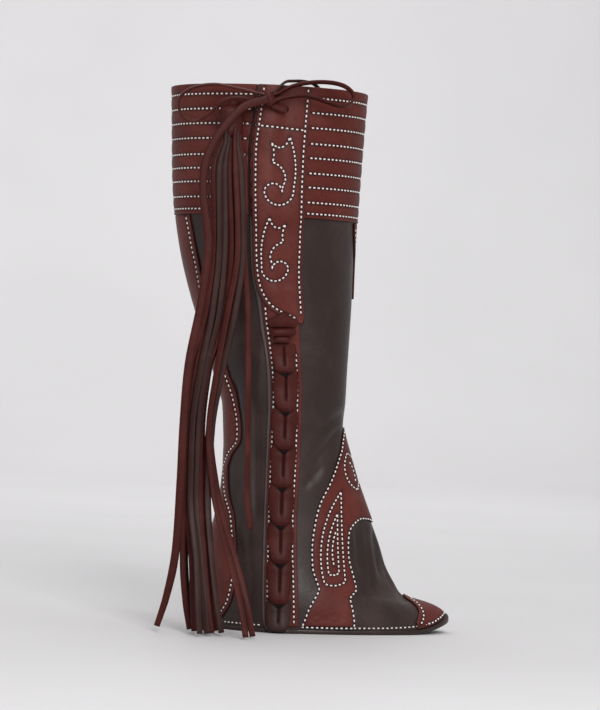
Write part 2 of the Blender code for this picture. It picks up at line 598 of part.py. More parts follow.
def heel_overlay(back, red, parts):
    """The overlay up the back of the leg, the same on both sides."""
    low, high = HEEL_BORDER[-1].z, HEEL_BORDER[0].z
    z = np.linspace(low, high, 28)
    x = border_x(HEEL_BORDER, z)
    inner, outer = (back.place(*locate_round(x, z, side)) for side in (INNER, OUTER))
    foot = back.place(np.linspace(0, 1, 3), np.full(3, OVERLAY_FOOT))[0, 1]
    top = back.place(np.zeros(1), np.array([CUFF_ROW - 0.06]))[0, 1]
    outline = [(column, min(max(row, foot), top)) for column, row in (*inner, *outer[::-1])]
    piece("heel_overlay", back, outline, LAY_GAP, OVERLAY, red, parts)


def locate_round(x, z, side):
    """Angles and heights counted on from the inner side, past the heel."""
    angle, height = locate(x, z, side)
    return (angle + 2 * math.pi if side == OUTER else angle), height


def front_stay(front, red, parts):
    """The pointed scallop on the front of the leg, under the cuff."""
    height = np.linspace(FRONT_STAY_FOOT, CUFF_ROW - 0.06, 8)
    angle = border_angle(FRONT_STAY_BORDER, height, INNER)
    outline = (*front.place(-angle, height), *front.place(angle, height)[::-1])
    piece("front_stay", front, outline, LAY_GAP, OVERLAY, red, parts)


def instep_overlay(front, red, parts):
    """The saddle over the instep: it runs from the hem over the ridge and down the inner side."""
    outline = []
    for edge in ("back", "front"):
        x, z = ([getattr(station, f"{edge}_{key}") for station in INSTEP] for key in "xz")
        angle, height = locate(x, z, OUTER)
        ridge = locate(getattr(INSTEP_RIDGE, f"{edge}_x"), getattr(INSTEP_RIDGE, f"{edge}_z"), OUTER)[1]
        angle = np.concatenate((angle, [0.0], -angle[::-1]))
        height = np.concatenate((height, [float(ridge)], height[::-1]))
        steps = np.linspace(0, len(angle) - 1, 3 * len(angle) - 2)
        border = front.place(smooth(angle, steps), smooth(height, steps))
        outline.extend(border if edge == "back" else border[::-1])
    piece("instep_overlay", front, outline, LAY_GAP, OVERLAY, red, parts)


def toe_cap(front, red, parts):
    """The cap over the point of the foot."""
    steps = np.linspace(0, len(TOE_CAP) - 1, 21)
    angle = np.radians(smooth([edge.degrees for edge in TOE_CAP], steps))
    top = front.place(angle, smooth([edge.row for edge in TOE_CAP], steps))
    foot = front.place(angle, binding_top(angle) + OVERLAY_FOOT - BINDING_TOP)
    piece("toe_cap", front, (*foot, *top[::-1]), LAY_GAP, OVERLAY, red, parts)


def strip(name, front, table, steps, material, parts):
    """A strap or strip on the outer side, from a table of rows that run downwards."""
    places = np.linspace(0, len(table) - 1, steps)
    z, left, right, lift = (smooth([getattr(row, key) for row in table], places) for key in Row._fields)
    outline = (*front.seen(left, z), *front.seen(right, z)[::-1])
    middle = front.seen((left + right) / 2, z)[:, 1]

    def back(cut_places):
        return np.interp(-cut_places[:, 1], -middle, lift)

    return piece(name, front, outline, back, OVERLAY, material, parts)


def punch(obj, front, lift, shapes):
    """Cuts the bow's hole through the pull strap."""
    centre = Vector(front.at(front.seen([STRAP_HOLE.x], [STRAP_HOLE.z]), lift)[0])
    net = bmesh.new()
    bmesh.ops.create_cone(net, cap_ends=True, segments=16, radius1=STRAP_HOLE_RADIUS,
                          radius2=STRAP_HOLE_RADIUS, depth=4.0)
    net.transform(Matrix.Translation(centre) @ Matrix.Rotation(math.pi / 2, 4, "X"))
    mesh = finished(net, "strap hole")
    mesh.transform(TO_WORLD)
    guide = bpy.data.objects.new("strap_hole", mesh)
    guide.hide_render = True
    guide.display_type = "WIRE"
    shapes.objects.link(guide)
    hole = obj.modifiers.new("hole", "BOOLEAN")
    hole.operation = "DIFFERENCE"
    hole.object = guide


def lace_loop(name, front, link, material, parts):
    """One loop of the chain: a soft lobe with a groove, whose lower end lies over the next one."""
    shares, half_widths = np.array(LINK_OUTLINE[::-1]).T
    across, dips = np.array(LINK_SECTION).T
    z = link.top_z + (link.bottom_z - link.top_z) * shares
    middle = link.top_x + (link.bottom_x - link.top_x) * shares
    x = middle[:, None] + half_widths[:, None] * across
    lift = LINK_UNDER + (LINK_OVER - LINK_UNDER) * ease((shares - 0.35) / 0.5)
    lift = np.repeat(lift, len(across))
    dips = np.tile(dips, len(shares))
    places = front.seen(x.ravel(), np.repeat(z, len(across)))
    faces = [(n, n + 1, n + 1 + len(across), n + len(across))
             for row in range(len(shares) - 1)
             for n in range(row * len(across), (row + 1) * len(across) - 1)]
    face = front.at(places, lift + LINK_THICK - LINK_GROOVE * dips)
    return add_object(name, between(name, front.at(places, lift), face, faces), material, parts)


def lace_roll(front, material, parts):
    """The rolled end of thong at the head of the chain."""
    out = LAY_GAP + OVERLAY + ROLL_RADIUS + 1.3
    places = front.seen(*np.array(ROLL_ENDS).T)
    start, end = (Vector(point) for point in front.at(places, out))
    net = bmesh.new()
    bmesh.ops.create_uvsphere(net, u_segments=12, v_segments=9, radius=ROLL_RADIUS)
    for vert in net.verts:
        vert.co.z += math.copysign((end - start).length / 2 - ROLL_RADIUS * 0.6, vert.co.z)
    turn = (end - start).to_track_quat("Z", "Y").to_matrix().to_4x4()
    net.transform(Matrix.Translation((start + end) / 2) @ turn)
    add_object("lace_roll", finished(net, "lace_roll"), material, parts)


def spline(points, steps):
    """Points along a smooth curve through the given ones."""
    points = np.array(points, float)
    padded = np.vstack((2 * points[0] - points[1], points, 2 * points[-1] - points[-2]))
    found = []
    for place in np.linspace(0, len(points) - 1, steps + 1):
        row = min(int(place), len(points) - 2)
        t = place - row
        a, b, c, d = padded[row:row + 4]
        found.append(0.5 * (2 * b + (c - a) * t + (2 * a - 5 * b + 4 * c - d) * t * t
                            + (3 * b - a - 3 * c + d) * t**3))
    return np.array(found)


def flat_strip(path, widths, thickness, width_way):
    """The four corners of a flat strip at each point of its path."""
    along = np.gradient(path, axis=0)
    along /= np.linalg.norm(along, axis=1, keepdims=True)
    width_way = np.broadcast_to(np.array(width_way, float), path.shape)
    across = width_way - along * np.sum(along * width_way, axis=1, keepdims=True)
    across /= np.linalg.norm(across, axis=1, keepdims=True)
    facing = np.cross(along, across)
    half = np.broadcast_to(np.asarray(widths, float) / 2, len(path))[:, None]
    corners = ((-1, -1), (1, -1), (1, 1), (-1, 1))
    return np.stack([path + across * half * a + facing * thickness / 2 * b for a, b in corners], axis=1)


def strips_mesh(name, strips):
    """One mesh of several closed strips."""
    net = bmesh.new()
    for sections in strips:
        rings = [[net.verts.new(corner) for corner in section] for section in sections]
        for first, second in zip(rings, rings[1:]):
            for side in range(4):
                after = (side + 1) % 4
                net.faces.new((first[side], first[after], second[after], second[side]))
        net.faces.new(rings[0][::-1])
        net.faces.new(rings[-1])
    bmesh.ops.recalc_face_normals(net, faces=net.faces)
    return finished(net, name)


def rounded_block(name, centre, size):
    """A block with soft corners."""
    net = bmesh.new()
    bmesh.ops.create_cube(net, size=1.0)
    bmesh.ops.subdivide_edges(net, edges=net.edges[:], cuts=2, use_grid_fill=True)
    for vert in net.verts:
        soft = vert.co.normalized() * 0.5
        vert.co = vert.co.lerp(soft, 0.5)
        vert.co = Vector([value * side + middle for value, side, middle in zip(vert.co, size, centre)])
    return finished(net, name)


def joined(name, base, others, material, parts, shapes):
    """A mesh object with other meshes united with it."""
    obj = add_object(name, base, material, parts)
    for number, mesh in enumerate(others, start=1):
        mesh.transform(TO_WORLD)
        guide = bpy.data.objects.new(f"{name}_join_{number}", mesh)
        guide.hide_render = True
        guide.display_type = "WIRE"
        shapes.objects.link(guide)
        union = obj.modifiers.new(f"join {number}", "BOOLEAN")
        union.operation = "UNION"
        union.object = guide


def bow(material, parts, shapes):
    """The bow: a knot with two loops and the end that goes through the strap's hole."""
    strips = []
    for number, (points, steps, way) in enumerate(BOW_STRIPS, start=1):
        sections = flat_strip(spline(points, steps), THONG_WIDTH, THONG_THICK, way)
        strips.append(strips_mesh(f"bow strip {number}", [sections]))
    joined("bow", rounded_block("bow", KNOT_CENTRE, KNOT_SIZE), strips, material, parts, shapes)


def bow_tail(material, parts):
    """The long free end of the bow, which hangs to the floor in front of the fringe."""
    path = spline(TAIL, 32)
    facing_out = np.cross(np.gradient(path, axis=0), (0.0, 1.0, 0.12))
    sections = flat_strip(path, THONG_WIDTH, THONG_THICK, facing_out)
    add_object("bow_tail", strips_mesh("bow_tail", [sections]), material, parts)


def fringe_strand(strand):
    """One strand of the fringe, from inside the head to its free end."""
    path = PATHS[strand.path]
    z = np.array(FRINGE_Z)
    keep = z > path.end_z + 8.0
    x = np.concatenate(([path[0]], np.array(path[:len(z)])[keep], [path.end_x]))
    z = np.concatenate(([HEAD_CENTRE.z - 5.0], z[keep], [path.end_z]))
    down = (z[0] - z) / (z[0] - z[-1])
    x = x + strand.shift * ease(down / 0.25) + (strand.end_shift - strand.shift) * ease((down - 0.4) / 0.6)
    y = FRONT_LAYER_Y + LAYER_PITCH * strand.layer - strand.end_out * ease((down - 0.7) / 0.3)
    steps = np.linspace(0, len(x) - 1, 13)
    line = np.stack([smooth(x, steps), smooth(y, steps), smooth(z, steps)], axis=-1)
    root = ease((line[0, 2] - line[:, 2]) / STRAND_ROOT_END)
    widths = STRAND_ROOT + (STRAND_WIDTH - STRAND_ROOT) * root
    return flat_strip(line, widths, STRAND_THICK, (1.0, 0.0, 0.0))


def tassel(material, parts, shapes):
    """The fringe: strands whose roots are fused into one wrapped head."""
    head = rounded_block("tassel", HEAD_CENTRE, HEAD_SIZE)
    neck = flat_strip(spline(HEAD_NECK, 4), THONG_WIDTH, THONG_THICK, (1.0, 0.0, 0.0))
    strands = [fringe_strand(strand) for strand in STRANDS]
    strips = [strips_mesh("neck", [neck]), strips_mesh("fringe", strands)]
    joined("tassel", head, strips, material, parts, shapes)


def build():
    """Clears the scene and builds the gaiter, piece by piece."""
    for obj in list(bpy.data.objects):
        bpy.data.objects.remove(obj, do_unlink=True)
    parts, shapes = (bpy.data.collections.new(name) for name in ("calf gaiter", "joined shapes"))
    for collection in (parts, shapes):
        bpy.context.scene.collection.children.link(collection)
    dark = leather("dark brown leather", (0.045, 0.032, 0.028), 0.38)
    red = leather("oxblood leather", (0.105, 0.022, 0.016), 0.42)
    thong = leather("oxblood thong", (0.12, 0.025, 0.018), 0.5)
    front, back = panels(dark, parts)
    cuffs(front, back, red, parts)
    bindings(front, back, dark, parts)
    heel_overlay(back, red, parts)
    front_stay(front, red, parts)
    instep_overlay(front, red, parts)
    toe_cap(front, red, parts)
    pull_strap = strip("pull_strap", front, PULL_STRAP, 29, red, parts)
    punch(pull_strap, front, PULL_STRAP[0].lift + OVERLAY / 2, shapes)
    strip("lace_strip", front, LACE_STRIP, 19, red, parts)
    strip("lace_tongue", front, LACE_TONGUE, 10, thong, parts)
    for number, link in enumerate(LINKS, start=1):
        lace_loop(f"lace_loop_{number}", front, link, thong, parts)
    lace_roll(front, thong, parts)
    bow(thong, parts, shapes)
    bow_tail(thong, parts)
    tassel(thong, parts, shapes)


build()
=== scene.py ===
"""The looks of one calf gaiter: leather in two colours, sewing, a chain of loops, a bow and a fringe.

The gaiter stands filled out on its hem. Each leather piece is a fine net laid over the same leg
form as the solids, so that it sits where its solid is. Sizes are in millimetres on the leg's own
axis: x runs from heel to toe, z up, and -Y is the outer side of the leg. A place on the leather is
an angle round the leg (0 at the toe, pi at the heel, negative on the outer side) and a height,
counted in rows of RINGS.
"""

from __future__ import annotations

import json
import logging
import math
from dataclasses import dataclass
from enum import Enum
from typing import Any, NamedTuple, Sequence

import bmesh
import bpy
import numpy as np
from mathutils import Matrix, Vector, kdtree

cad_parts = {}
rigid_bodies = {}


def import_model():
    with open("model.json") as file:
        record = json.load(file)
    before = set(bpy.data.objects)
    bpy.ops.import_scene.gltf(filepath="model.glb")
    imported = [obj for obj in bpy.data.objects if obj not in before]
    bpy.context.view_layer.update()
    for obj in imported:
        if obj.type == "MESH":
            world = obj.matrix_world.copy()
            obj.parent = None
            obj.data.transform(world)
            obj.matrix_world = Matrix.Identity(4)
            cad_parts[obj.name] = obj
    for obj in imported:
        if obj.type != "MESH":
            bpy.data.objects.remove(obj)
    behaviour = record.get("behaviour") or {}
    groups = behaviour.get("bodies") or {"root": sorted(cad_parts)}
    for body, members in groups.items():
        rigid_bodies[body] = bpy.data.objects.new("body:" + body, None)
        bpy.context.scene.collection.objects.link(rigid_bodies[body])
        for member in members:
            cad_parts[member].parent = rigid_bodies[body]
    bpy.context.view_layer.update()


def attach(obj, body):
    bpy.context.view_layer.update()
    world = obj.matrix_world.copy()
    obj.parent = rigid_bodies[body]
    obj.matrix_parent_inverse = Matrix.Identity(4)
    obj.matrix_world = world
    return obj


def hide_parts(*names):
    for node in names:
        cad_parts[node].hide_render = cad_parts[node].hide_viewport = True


LOG = logging.getLogger("calf_gaiter")
Array = np.ndarray
MM = 0.001
LEG_X, LEG_Y = -18.6, 27.2
TO_WORLD = Matrix.Scale(MM, 4) @ Matrix.Translation((LEG_X, LEG_Y, 0.0))

PANEL, OVERLAY, CUFF = 1.8, 1.2, 1.6
SEAM_GAP, LAY_GAP = 0.3, 0.35
LAP, LAP_RISE, LAP_RAMP = 12.0, 2.1, 12.0
BINDING_TOP, OVERLAY_FOOT, CUFF_ROW = 0.52, 0.62, 18.92
CURL_START_X = 98.0


class Side(Enum):
    """The side of the leg that a place is on, as the sign of y."""

    OUTER = -1
    INNER = 1


class Ring(NamedTuple):
    """One row of the leg form."""

    front_x: float
    front_z: float
    back_x: float
    back_z: float
    widest_x: float
    half_width: float
    point: float
    curl: float


RINGS: tuple[Ring, ...] = (
    Ring(132.0, 8.0, -50.5, 0.0, 9.0, 49.0, 1.15, 8.0),
    Ring(132.0, 12.0, -50.5, 8.0, 9.0, 49.0, 1.15, 6.5),
    Ring(125.0, 18.0, -50.5, 21.0, 9.0, 48.6, 1.30, 3.5),
    Ring(115.0, 22.0, -50.5, 33.0, 9.0, 47.6, 1.45, 1.5),
    Ring(104.5, 24.8, -50.6, 45.0, 9.0, 46.2, 1.55, 0.5),
    Ring(96.5, 28.6, -51.0, 57.0, 8.5, 44.8, 1.50, 0.0),
    Ring(90.0, 38.0, -50.8, 70.0, 8.0, 43.2, 1.40, 0.0),
    Ring(83.3, 50.0, -48.0, 84.0, 7.5, 41.8, 1.30, 0.0),
    Ring(78.2, 65.0, -45.2, 97.0, 6.5, 40.6, 1.20, 0.0),
    Ring(71.5, 82.0, -44.0, 110.0, 5.5, 39.6, 1.14, 0.0),
    Ring(65.0, 98.0, -43.2, 124.0, 4.5, 38.8, 1.10, 0.0),
    Ring(58.0, 116.0, -43.2, 138.0, 3.0, 38.2, 1.06, 0.0),
    Ring(51.8, 135.0, -44.0, 153.0, 1.5, 37.8, 1.02, 0.0),
    Ring(46.4, 156.0, -45.4, 170.0, 0.0, 37.8, 1.0, 0.0),
    Ring(47.6, 175.0, -51.0, 187.0, -2.0, 38.6, 1.0, 0.0),
    Ring(48.0, 197.0, -57.0, 206.0, -5.0, 40.8, 1.0, 0.0),
    Ring(48.8, 225.0, -66.0, 232.0, -9.0, 44.4, 1.0, 0.0),
    Ring(49.4, 252.0, -74.0, 256.0, -13.0, 47.8, 1.0, 0.0),
    Ring(49.4, 281.0, -81.6, 284.0, -16.5, 50.8, 1.0, 0.0),
    Ring(49.8, 314.0, -87.1, 315.0, -19.0, 53.2, 1.0, 0.0),
    Ring(50.8, 345.0, -89.8, 345.0, -19.5, 54.4, 1.0, 0.0),
    Ring(52.2, 378.0, -91.3, 378.0, -19.5, 55.0, 1.0, 0.0),
    Ring(53.8, 410.0, -92.8, 410.0, -19.5, 55.0, 1.0, 0.0),
)
RIM_ROW = len(RINGS) - 1


class Fold(NamedTuple):
    """A soft fold: a trough where depth is below 0, a ridge above it."""

    side: Side
    from_x: float
    from_z: float
    to_x: float
    to_z: float
    width: float
    depth: float


FOLDS: tuple[Fold, ...] = (
    Fold(Side.OUTER, 61.0, 82.0, 64.0, 44.0, 4.5, -2.0),
    Fold(Side.OUTER, 71.0, 74.0, 84.0, 38.0, 4.5, -1.5),
    Fold(Side.OUTER, 20.0, 121.0, 40.0, 147.0, 8.0, -1.6),
    Fold(Side.OUTER, -31.0, 178.0, -24.0, 84.0, 5.0, 1.4),
    Fold(Side.INNER, 60.0, 78.0, 66.0, 42.0, 5.0, -1.8),
    Fold(Side.INNER, 72.0, 70.0, 82.0, 40.0, 4.0, -1.3),
    Fold(Side.INNER, 8.0, 124.0, 36.0, 143.0, 7.0, -1.7),
    Fold(Side.INNER, -30.0, 162.0, -12.0, 150.0, 6.0, -1.4),
    Fold(Side.INNER, -34.0, 196.0, -28.0, 96.0, 6.0, 1.2),
)
FOLD_FADE = 7.0
# Finer creases, which only the looks have, as the numbers of Fold.
CREASES: dict[Side, tuple[tuple[float, ...], ...]] = {
    Side.OUTER: (
        (74.0, 79.0, 77.5, 47.0, 2.0, -0.8), (80.5, 62.0, 88.0, 36.0, 1.7, -0.7),
        (66.5, 80.0, 71.0, 34.0, 2.2, -0.6), (88.0, 48.0, 96.0, 26.0, 1.8, -0.6),
        (57.5, 78.0, 60.5, 52.0, 1.8, -0.7), (24.0, 131.0, 41.0, 152.0, 2.6, -0.7),
        (16.5, 112.0, 28.0, 124.0, 2.8, -0.5), (22.0, 150.0, 44.0, 165.0, 3.2, -0.6),
        (-40.0, 186.0, -33.0, 150.0, 3.0, -0.8), (-24.0, 168.0, -20.5, 92.0, 2.6, -0.7),
        (-21.0, 226.0, -22.5, 176.0, 3.6, 0.7), (24.0, 206.0, 33.0, 246.0, 5.0, -0.6),
        (-30.0, 76.0, -25.0, 30.0, 3.6, -0.6), (12.0, 268.0, 18.0, 214.0, 6.0, 0.6),
    ),
    Side.INNER: (
        (73.5, 76.0, 78.0, 44.0, 2.2, -0.8), (82.0, 58.0, 90.0, 34.0, 1.9, -0.7),
        (65.5, 79.0, 69.0, 38.0, 2.0, -0.6), (56.0, 76.0, 59.0, 50.0, 2.0, -0.6),
        (18.0, 134.0, 40.0, 156.0, 3.0, -0.8), (-4.0, 138.0, 18.0, 116.0, 3.2, -0.6),
        (-38.0, 182.0, -26.0, 142.0, 3.4, -0.8), (-16.0, 214.0, -2.0, 168.0, 4.0, -0.6),
        (20.0, 214.0, 31.0, 250.0, 5.0, -0.6), (-24.0, 70.0, -18.0, 28.0, 3.4, -0.6),
    ),
}
CREASE_DEPTH = 1.7

# Borders seen from the side, as (z, x) from the rim down.
CLOSURE_EDGE = (
    (410.0, -32.6), (385.0, -34.7), (361.0, -36.7), (345.0, -36.4), (312.0, -34.5), (286.0, -32.9),
    (275.0, -31.8), (262.0, -29.8), (254.0, -27.4), (247.0, -25.7), (237.0, -24.0), (228.0, -22.4),
    (218.5, -19.8), (199.5, -16.7), (182.5, -15.1), (165.0, -14.0), (144.0, -14.0), (114.0, -14.0),
    (76.0, -14.2), (46.0, -14.0), (24.0, -13.6), (9.0, -12.6), (3.5, -11.0), (0.0, -8.5),
)
INNER_SEAM = ((410.0, -20.0), (250.0, -14.0), (150.0, -4.0), (0.0, -6.0))
HEEL_BORDER = (
    (313.5, -78.3), (289.0, -72.9), (270.0, -68.2), (255.0, -64.8), (240.0, -60.5), (225.0, -55.6),
    (210.0, -50.2), (196.0, -44.6), (173.0, -37.1), (154.0, -33.5), (143.0, -32.6), (131.0, -38.6),
    (119.5, -40.8), (104.5, -40.0), (84.7, -35.4), (45.0, -32.9), (22.3, -35.7), (5.0, -44.0),
)
FRONT_STAY_BORDER = ((313.5, 46.6), (300.0, 47.7), (290.0, 48.7), (282.0, 49.3))
FRONT_STAY_FOOT = 17.05
# Straps on the outer side, as (z, left, right, lift) from the top down.
PULL_STRAP = (
    (409.6, -30.2, 7.0, 2.4), (396.0, -31.3, 6.5, 2.4), (380.0, -32.9, 5.7, 2.4),
    (361.0, -34.4, 5.0, 2.4), (338.0, -33.9, 4.9, 2.4), (312.0, -32.6, 5.3, 2.4),
    (302.0, -32.0, 5.5, 1.0), (288.0, -31.2, 5.7, 0.8), (277.0, -30.3, 5.7, 0.8),
    (264.0, -28.2, 6.2, 1.2), (255.0, -25.0, 7.0, 2.0), (246.0, -19.2, 8.0, 2.0),
    (241.0, -12.8, 8.5, 2.0), (237.0, -4.5, 8.9, 2.0), (233.0, 4.8, 9.1, 2.0),
)
LACE_STRIP = (
    (252.0, -23.4, 4.0, LAY_GAP), (234.0, -20.6, 5.8, LAY_GAP), (205.0, -15.2, 8.4, LAY_GAP),
    (186.0, -12.7, 10.3, LAY_GAP), (160.0, -12.0, 11.0, LAY_GAP), (120.0, -12.2, 11.0, LAY_GAP),
    (92.0, -12.2, 10.3, LAY_GAP), (60.0, -12.2, 11.0, LAY_GAP), (30.0, -11.8, 12.7, LAY_GAP),
    (5.2, -10.6, 13.8, LAY_GAP),
)
LACE_TONGUE = (
    (241.6, -7.8, -5.8, 3.6), (238.0, -12.6, -0.8, 3.6), (234.5, -17.6, 4.0, 3.6), (229.6, -16.6, 2.8, 2.6),
)
# The instep overlay's two borders, from the hem up to the ridge, as (x, z).
INSTEP_BACK = (
    (15.7, 5.2), (20.2, 17.6), (26.4, 29.6), (27.8, 33.4), (25.4, 40.3), (22.5, 49.5), (21.7, 64.1),
    (23.5, 82.1), (27.6, 98.8), (36.2, 116.9), (43.0, 135.8), (46.4, 155.0),
)
INSTEP_FRONT = (
    (56.1, 5.2), (55.1, 17.1), (53.0, 26.0), (57.6, 32.6), (56.0, 40.5), (52.7, 50.9), (50.7, 64.4),
    (51.3, 76.4), (55.3, 82.4), (62.1, 86.0), (67.4, 85.2), (71.0, 82.6),
)
# The toe cap's upper border, as (degrees from the toe, row).
TOE_CAP = (
    (-38.0, 1.35), (-31.0, 2.1), (-23.0, 3.3), (-15.0, 4.3), (-7.0, 4.75), (0.0, 4.85), (7.0, 4.75),
    (15.0, 4.3), (23.0, 3.3), (31.0, 2.1), (38.0, 1.35),
)
# The binding's upper border on either side of the toe, as (degrees from the toe, row).
BINDING_EDGE = (
    (0.0, 1.36), (11.0, 1.2), (20.0, 0.94), (27.0, 0.75), (35.0, 0.65), (53.0, 0.58), (73.0, BINDING_TOP),
)
# The closure's chain, as (top z, bottom z, top x, bottom x) of each loop, from the roll down to the hem.
LINKS = (
    (217.5, 195.6, -5.4, -3.4), (199.5, 166.0, -2.8, -1.2), (169.8, 137.2, -1.6, -1.4),
    (140.8, 108.6, -1.4, -1.4), (112.3, 79.8, -1.8, -1.5), (83.3, 51.0, -1.8, -1.1),
    (54.7, 21.3, -1.5, -1.0), (25.0, 1.2, -1.3, -1.2),
)
# Down a loop: share of its length, and half width.
LINK_OUTLINE = ((0.0, 8.2), (0.16, 9.2), (0.42, 9.2), (0.64, 8.2), (0.82, 7.2), (0.94, 6.2), (1.0, 4.6))

EVERY_FOLD = (*FOLDS, *(Fold(side, *place, CREASE_DEPTH * depth) for side, creases in CREASES.items()
                        for *place, depth in creases))


def smooth(values: Sequence[float] | Array, at: Any) -> Array:
    """Reads a table's column between its rows, without overshoot.

    Args:
        values: The column.
        at: Places, counted in rows from 0.

    Returns:
        The values there.
    """
    values = np.asarray(values, float)
    steps = np.diff(values)
    product = steps[:-1] * steps[1:]
    total = np.where(product > 0, steps[:-1] + steps[1:], 1.0)
    slopes = np.concatenate(([steps[0]], np.where(product > 0, 2 * product / total, 0.0), [steps[-1]]))
    at = np.asarray(at, float)
    row = np.clip(np.floor(at).astype(int), 0, len(values) - 2)
    t = at - row
    rise = t * t * (3 - 2 * t)
    lean = slopes[row] * t * (1 - t) ** 2 - slopes[row + 1] * t * t * (1 - t)
    return values[row] * (1 - rise) + values[row + 1] * rise + lean


def ease(share: Any) -> Array:
    """A smooth step from 0 to 1."""
    share = np.clip(share, 0.0, 1.0)
    return share * share * (3 - 2 * share)


def column(table: Sequence[Sequence[float]], index: int) -> list[float]:
    """One column of a table."""
    return [row[index] for row in table]


class LegForm:
    """The filled-out leg that the leather follows, as functions of angle and height."""

    def __init__(self) -> None:
        """Samples the rings once, for finding heights from places."""
        self.heights = np.linspace(0, RIM_ROW, 1400)
        self.sampled = self.ring(self.heights)

    def ring(self, height: Array) -> Ring:
        """The columns of RINGS at a height."""
        return Ring(*(smooth(column(RINGS, index), height) for index in range(len(Ring._fields))))

    def level(self, ring: Ring, x: Array) -> Array:
        """z of a ring where it passes x.

        Args:
            ring: The ring.
            x: Places along the leg.

        Returns:
            The heights in millimetres.
        """
        along = (x - ring.back_x) / (ring.front_x - ring.back_x)
        turn = np.clip((x - CURL_START_X) / np.maximum(ring.front_x - CURL_START_X, 1.0), 0.0, 1.2)
        return ring.back_z + (ring.front_z - ring.curl - ring.back_z) * along + ring.curl * turn**2

    def bare(self, angle: Array, height: Array) -> Array:
        """Places on the leg with no folds.

        Args:
            angle: Angles round the leg.
            height: Heights in rows.

        Returns:
            Points in the leg's millimetres.
        """
        angle, height = np.broadcast_arrays(np.asarray(angle, float), np.asarray(height, float))
        ring = self.ring(height)
        forward = np.cos(angle) >= 0
        reach = np.where(forward, ring.front_x - ring.widest_x, ring.widest_x - ring.back_x)
        x = ring.widest_x + reach * np.cos(angle)
        spread = np.abs(np.sin(angle)) ** np.where(forward, ring.point, 1.0)
        y = ring.half_width * np.sign(np.sin(angle)) * spread
        return np.stack([x, y, self.level(ring, x)], axis=-1)

    def normal(self, angle: Array, height: Array) -> Array:
        """The leg's outward normals.

        Args:
            angle: Angles round the leg.
            height: Heights in rows.

        Returns:
            Unit normals.
        """
        step = 1e-3
        across = self.bare(angle + step, height) - self.bare(angle - step, height)
        up = self.bare(angle, height + step) - self.bare(angle, height - step)
        normal = np.cross(across, up)
        return normal / np.linalg.norm(normal, axis=-1, keepdims=True)

    def fold_depth(self, point: Array) -> Array:
        """How far the folds move places of the leg outwards.

        Args:
            point: Places on the bare leg.

        Returns:
            Millimetres, below 0 in a trough.
        """
        total = np.zeros(point.shape[:-1])
        for fold in EVERY_FOLD:
            start = np.array([fold.from_x, fold.from_z])
            run = np.array([fold.to_x, fold.to_z]) - start
            place = point[..., [0, 2]] - start
            along = (place @ run) / (run @ run)
            aside = (place @ np.array([-run[1], run[0]])) / np.linalg.norm(run)
            ends = ease((along + 0.25) / 0.35) * ease((1.25 - along) / 0.35)
            same = ease(point[..., 1] * fold.side.value / FOLD_FADE)
            total += fold.depth * np.exp(-((aside / fold.width) ** 2)) * ends * same
        return total

    def lap_rise(self, point: Array) -> Array:
        """How far the front panel stands off to pass over the back panel.

        Args:
            point: Places on the bare leg.

        Returns:
            Millimetres.
        """
        edge = self.border_x(CLOSURE_EDGE, point[..., 2])
        rise = LAP_RISE * (1 - ease((point[..., 0] - edge - LAP - 1.0) / LAP_RAMP))
        return np.where(point[..., 1] < 0, rise, 0.0)

    def on(self, angle: Any, height: Any, out: Any, lapped: bool = False) -> Array:
        """Places that stand out over the leg.

        Args:
            angle: Angles round the leg.
            height: Heights in rows.
            out: Millimetres over the leg.
            lapped: Whether the piece belongs to the front panel, which rises at the closure.

        Returns:
            Points in the leg's millimetres.
        """
        angle, height = np.broadcast_arrays(np.asarray(angle, float), np.asarray(height, float))
        point = self.bare(angle, height)
        away = self.fold_depth(point) + out + (self.lap_rise(point) if lapped else 0.0)
        return point + self.normal(angle, height) * away[..., None]

    def border_x(self, border: Sequence[Sequence[float]], z: Array) -> Array:
        """x of a border at z."""
        rows = np.interp(-np.asarray(z, float), -np.array(column(border, 0)), np.arange(len(border)))
        return smooth(column(border, 1), rows)

    def border_angle(self, border: Sequence[Sequence[float]], height: Array, side: Side,
                     shift: float = 0.0) -> Array:
        """The angles at which rings meet a border.

        Args:
            border: The border's table.
            height: The rings' heights.
            side: The side of the leg.
            shift: Millimetres towards the toe.

        Returns:
            The angles.
        """
        ring = self.ring(height)
        x = ring.widest_x
        for _ in range(12):
            x = self.border_x(border, self.level(ring, x)) + shift
        return self.angle_of(ring, x, side)

    def angle_of(self, ring: Ring, x: Array, side: Side) -> Array:
        """The angle of a ring's place at x."""
        reach = np.where(x >= ring.widest_x, ring.front_x - ring.widest_x, ring.widest_x - ring.back_x)
        return side.value * np.arccos(np.clip((x - ring.widest_x) / reach, -1.0, 1.0))

    def locate(self, x: Any, z: Any, side: Side = Side.OUTER) -> tuple[Array, Array]:
        """The angles and heights of places seen from one side.

        Args:
            x: Places along the leg.
            z: Their heights in millimetres.
            side: The side that they are seen from.

        Returns:
            The angles, and the heights in rows.
        """
        x, z = np.broadcast_arrays(np.asarray(x, float), np.asarray(z, float))
        found = [np.interp(up, self.level(self.sampled, along), self.heights)
                 for along, up in zip(x.ravel(), z.ravel())]
        height = np.array(found).reshape(x.shape)
        return self.angle_of(self.ring(height), x, side), height


LEG = LegForm()


# ---------------------------------------------------------------- shader tools


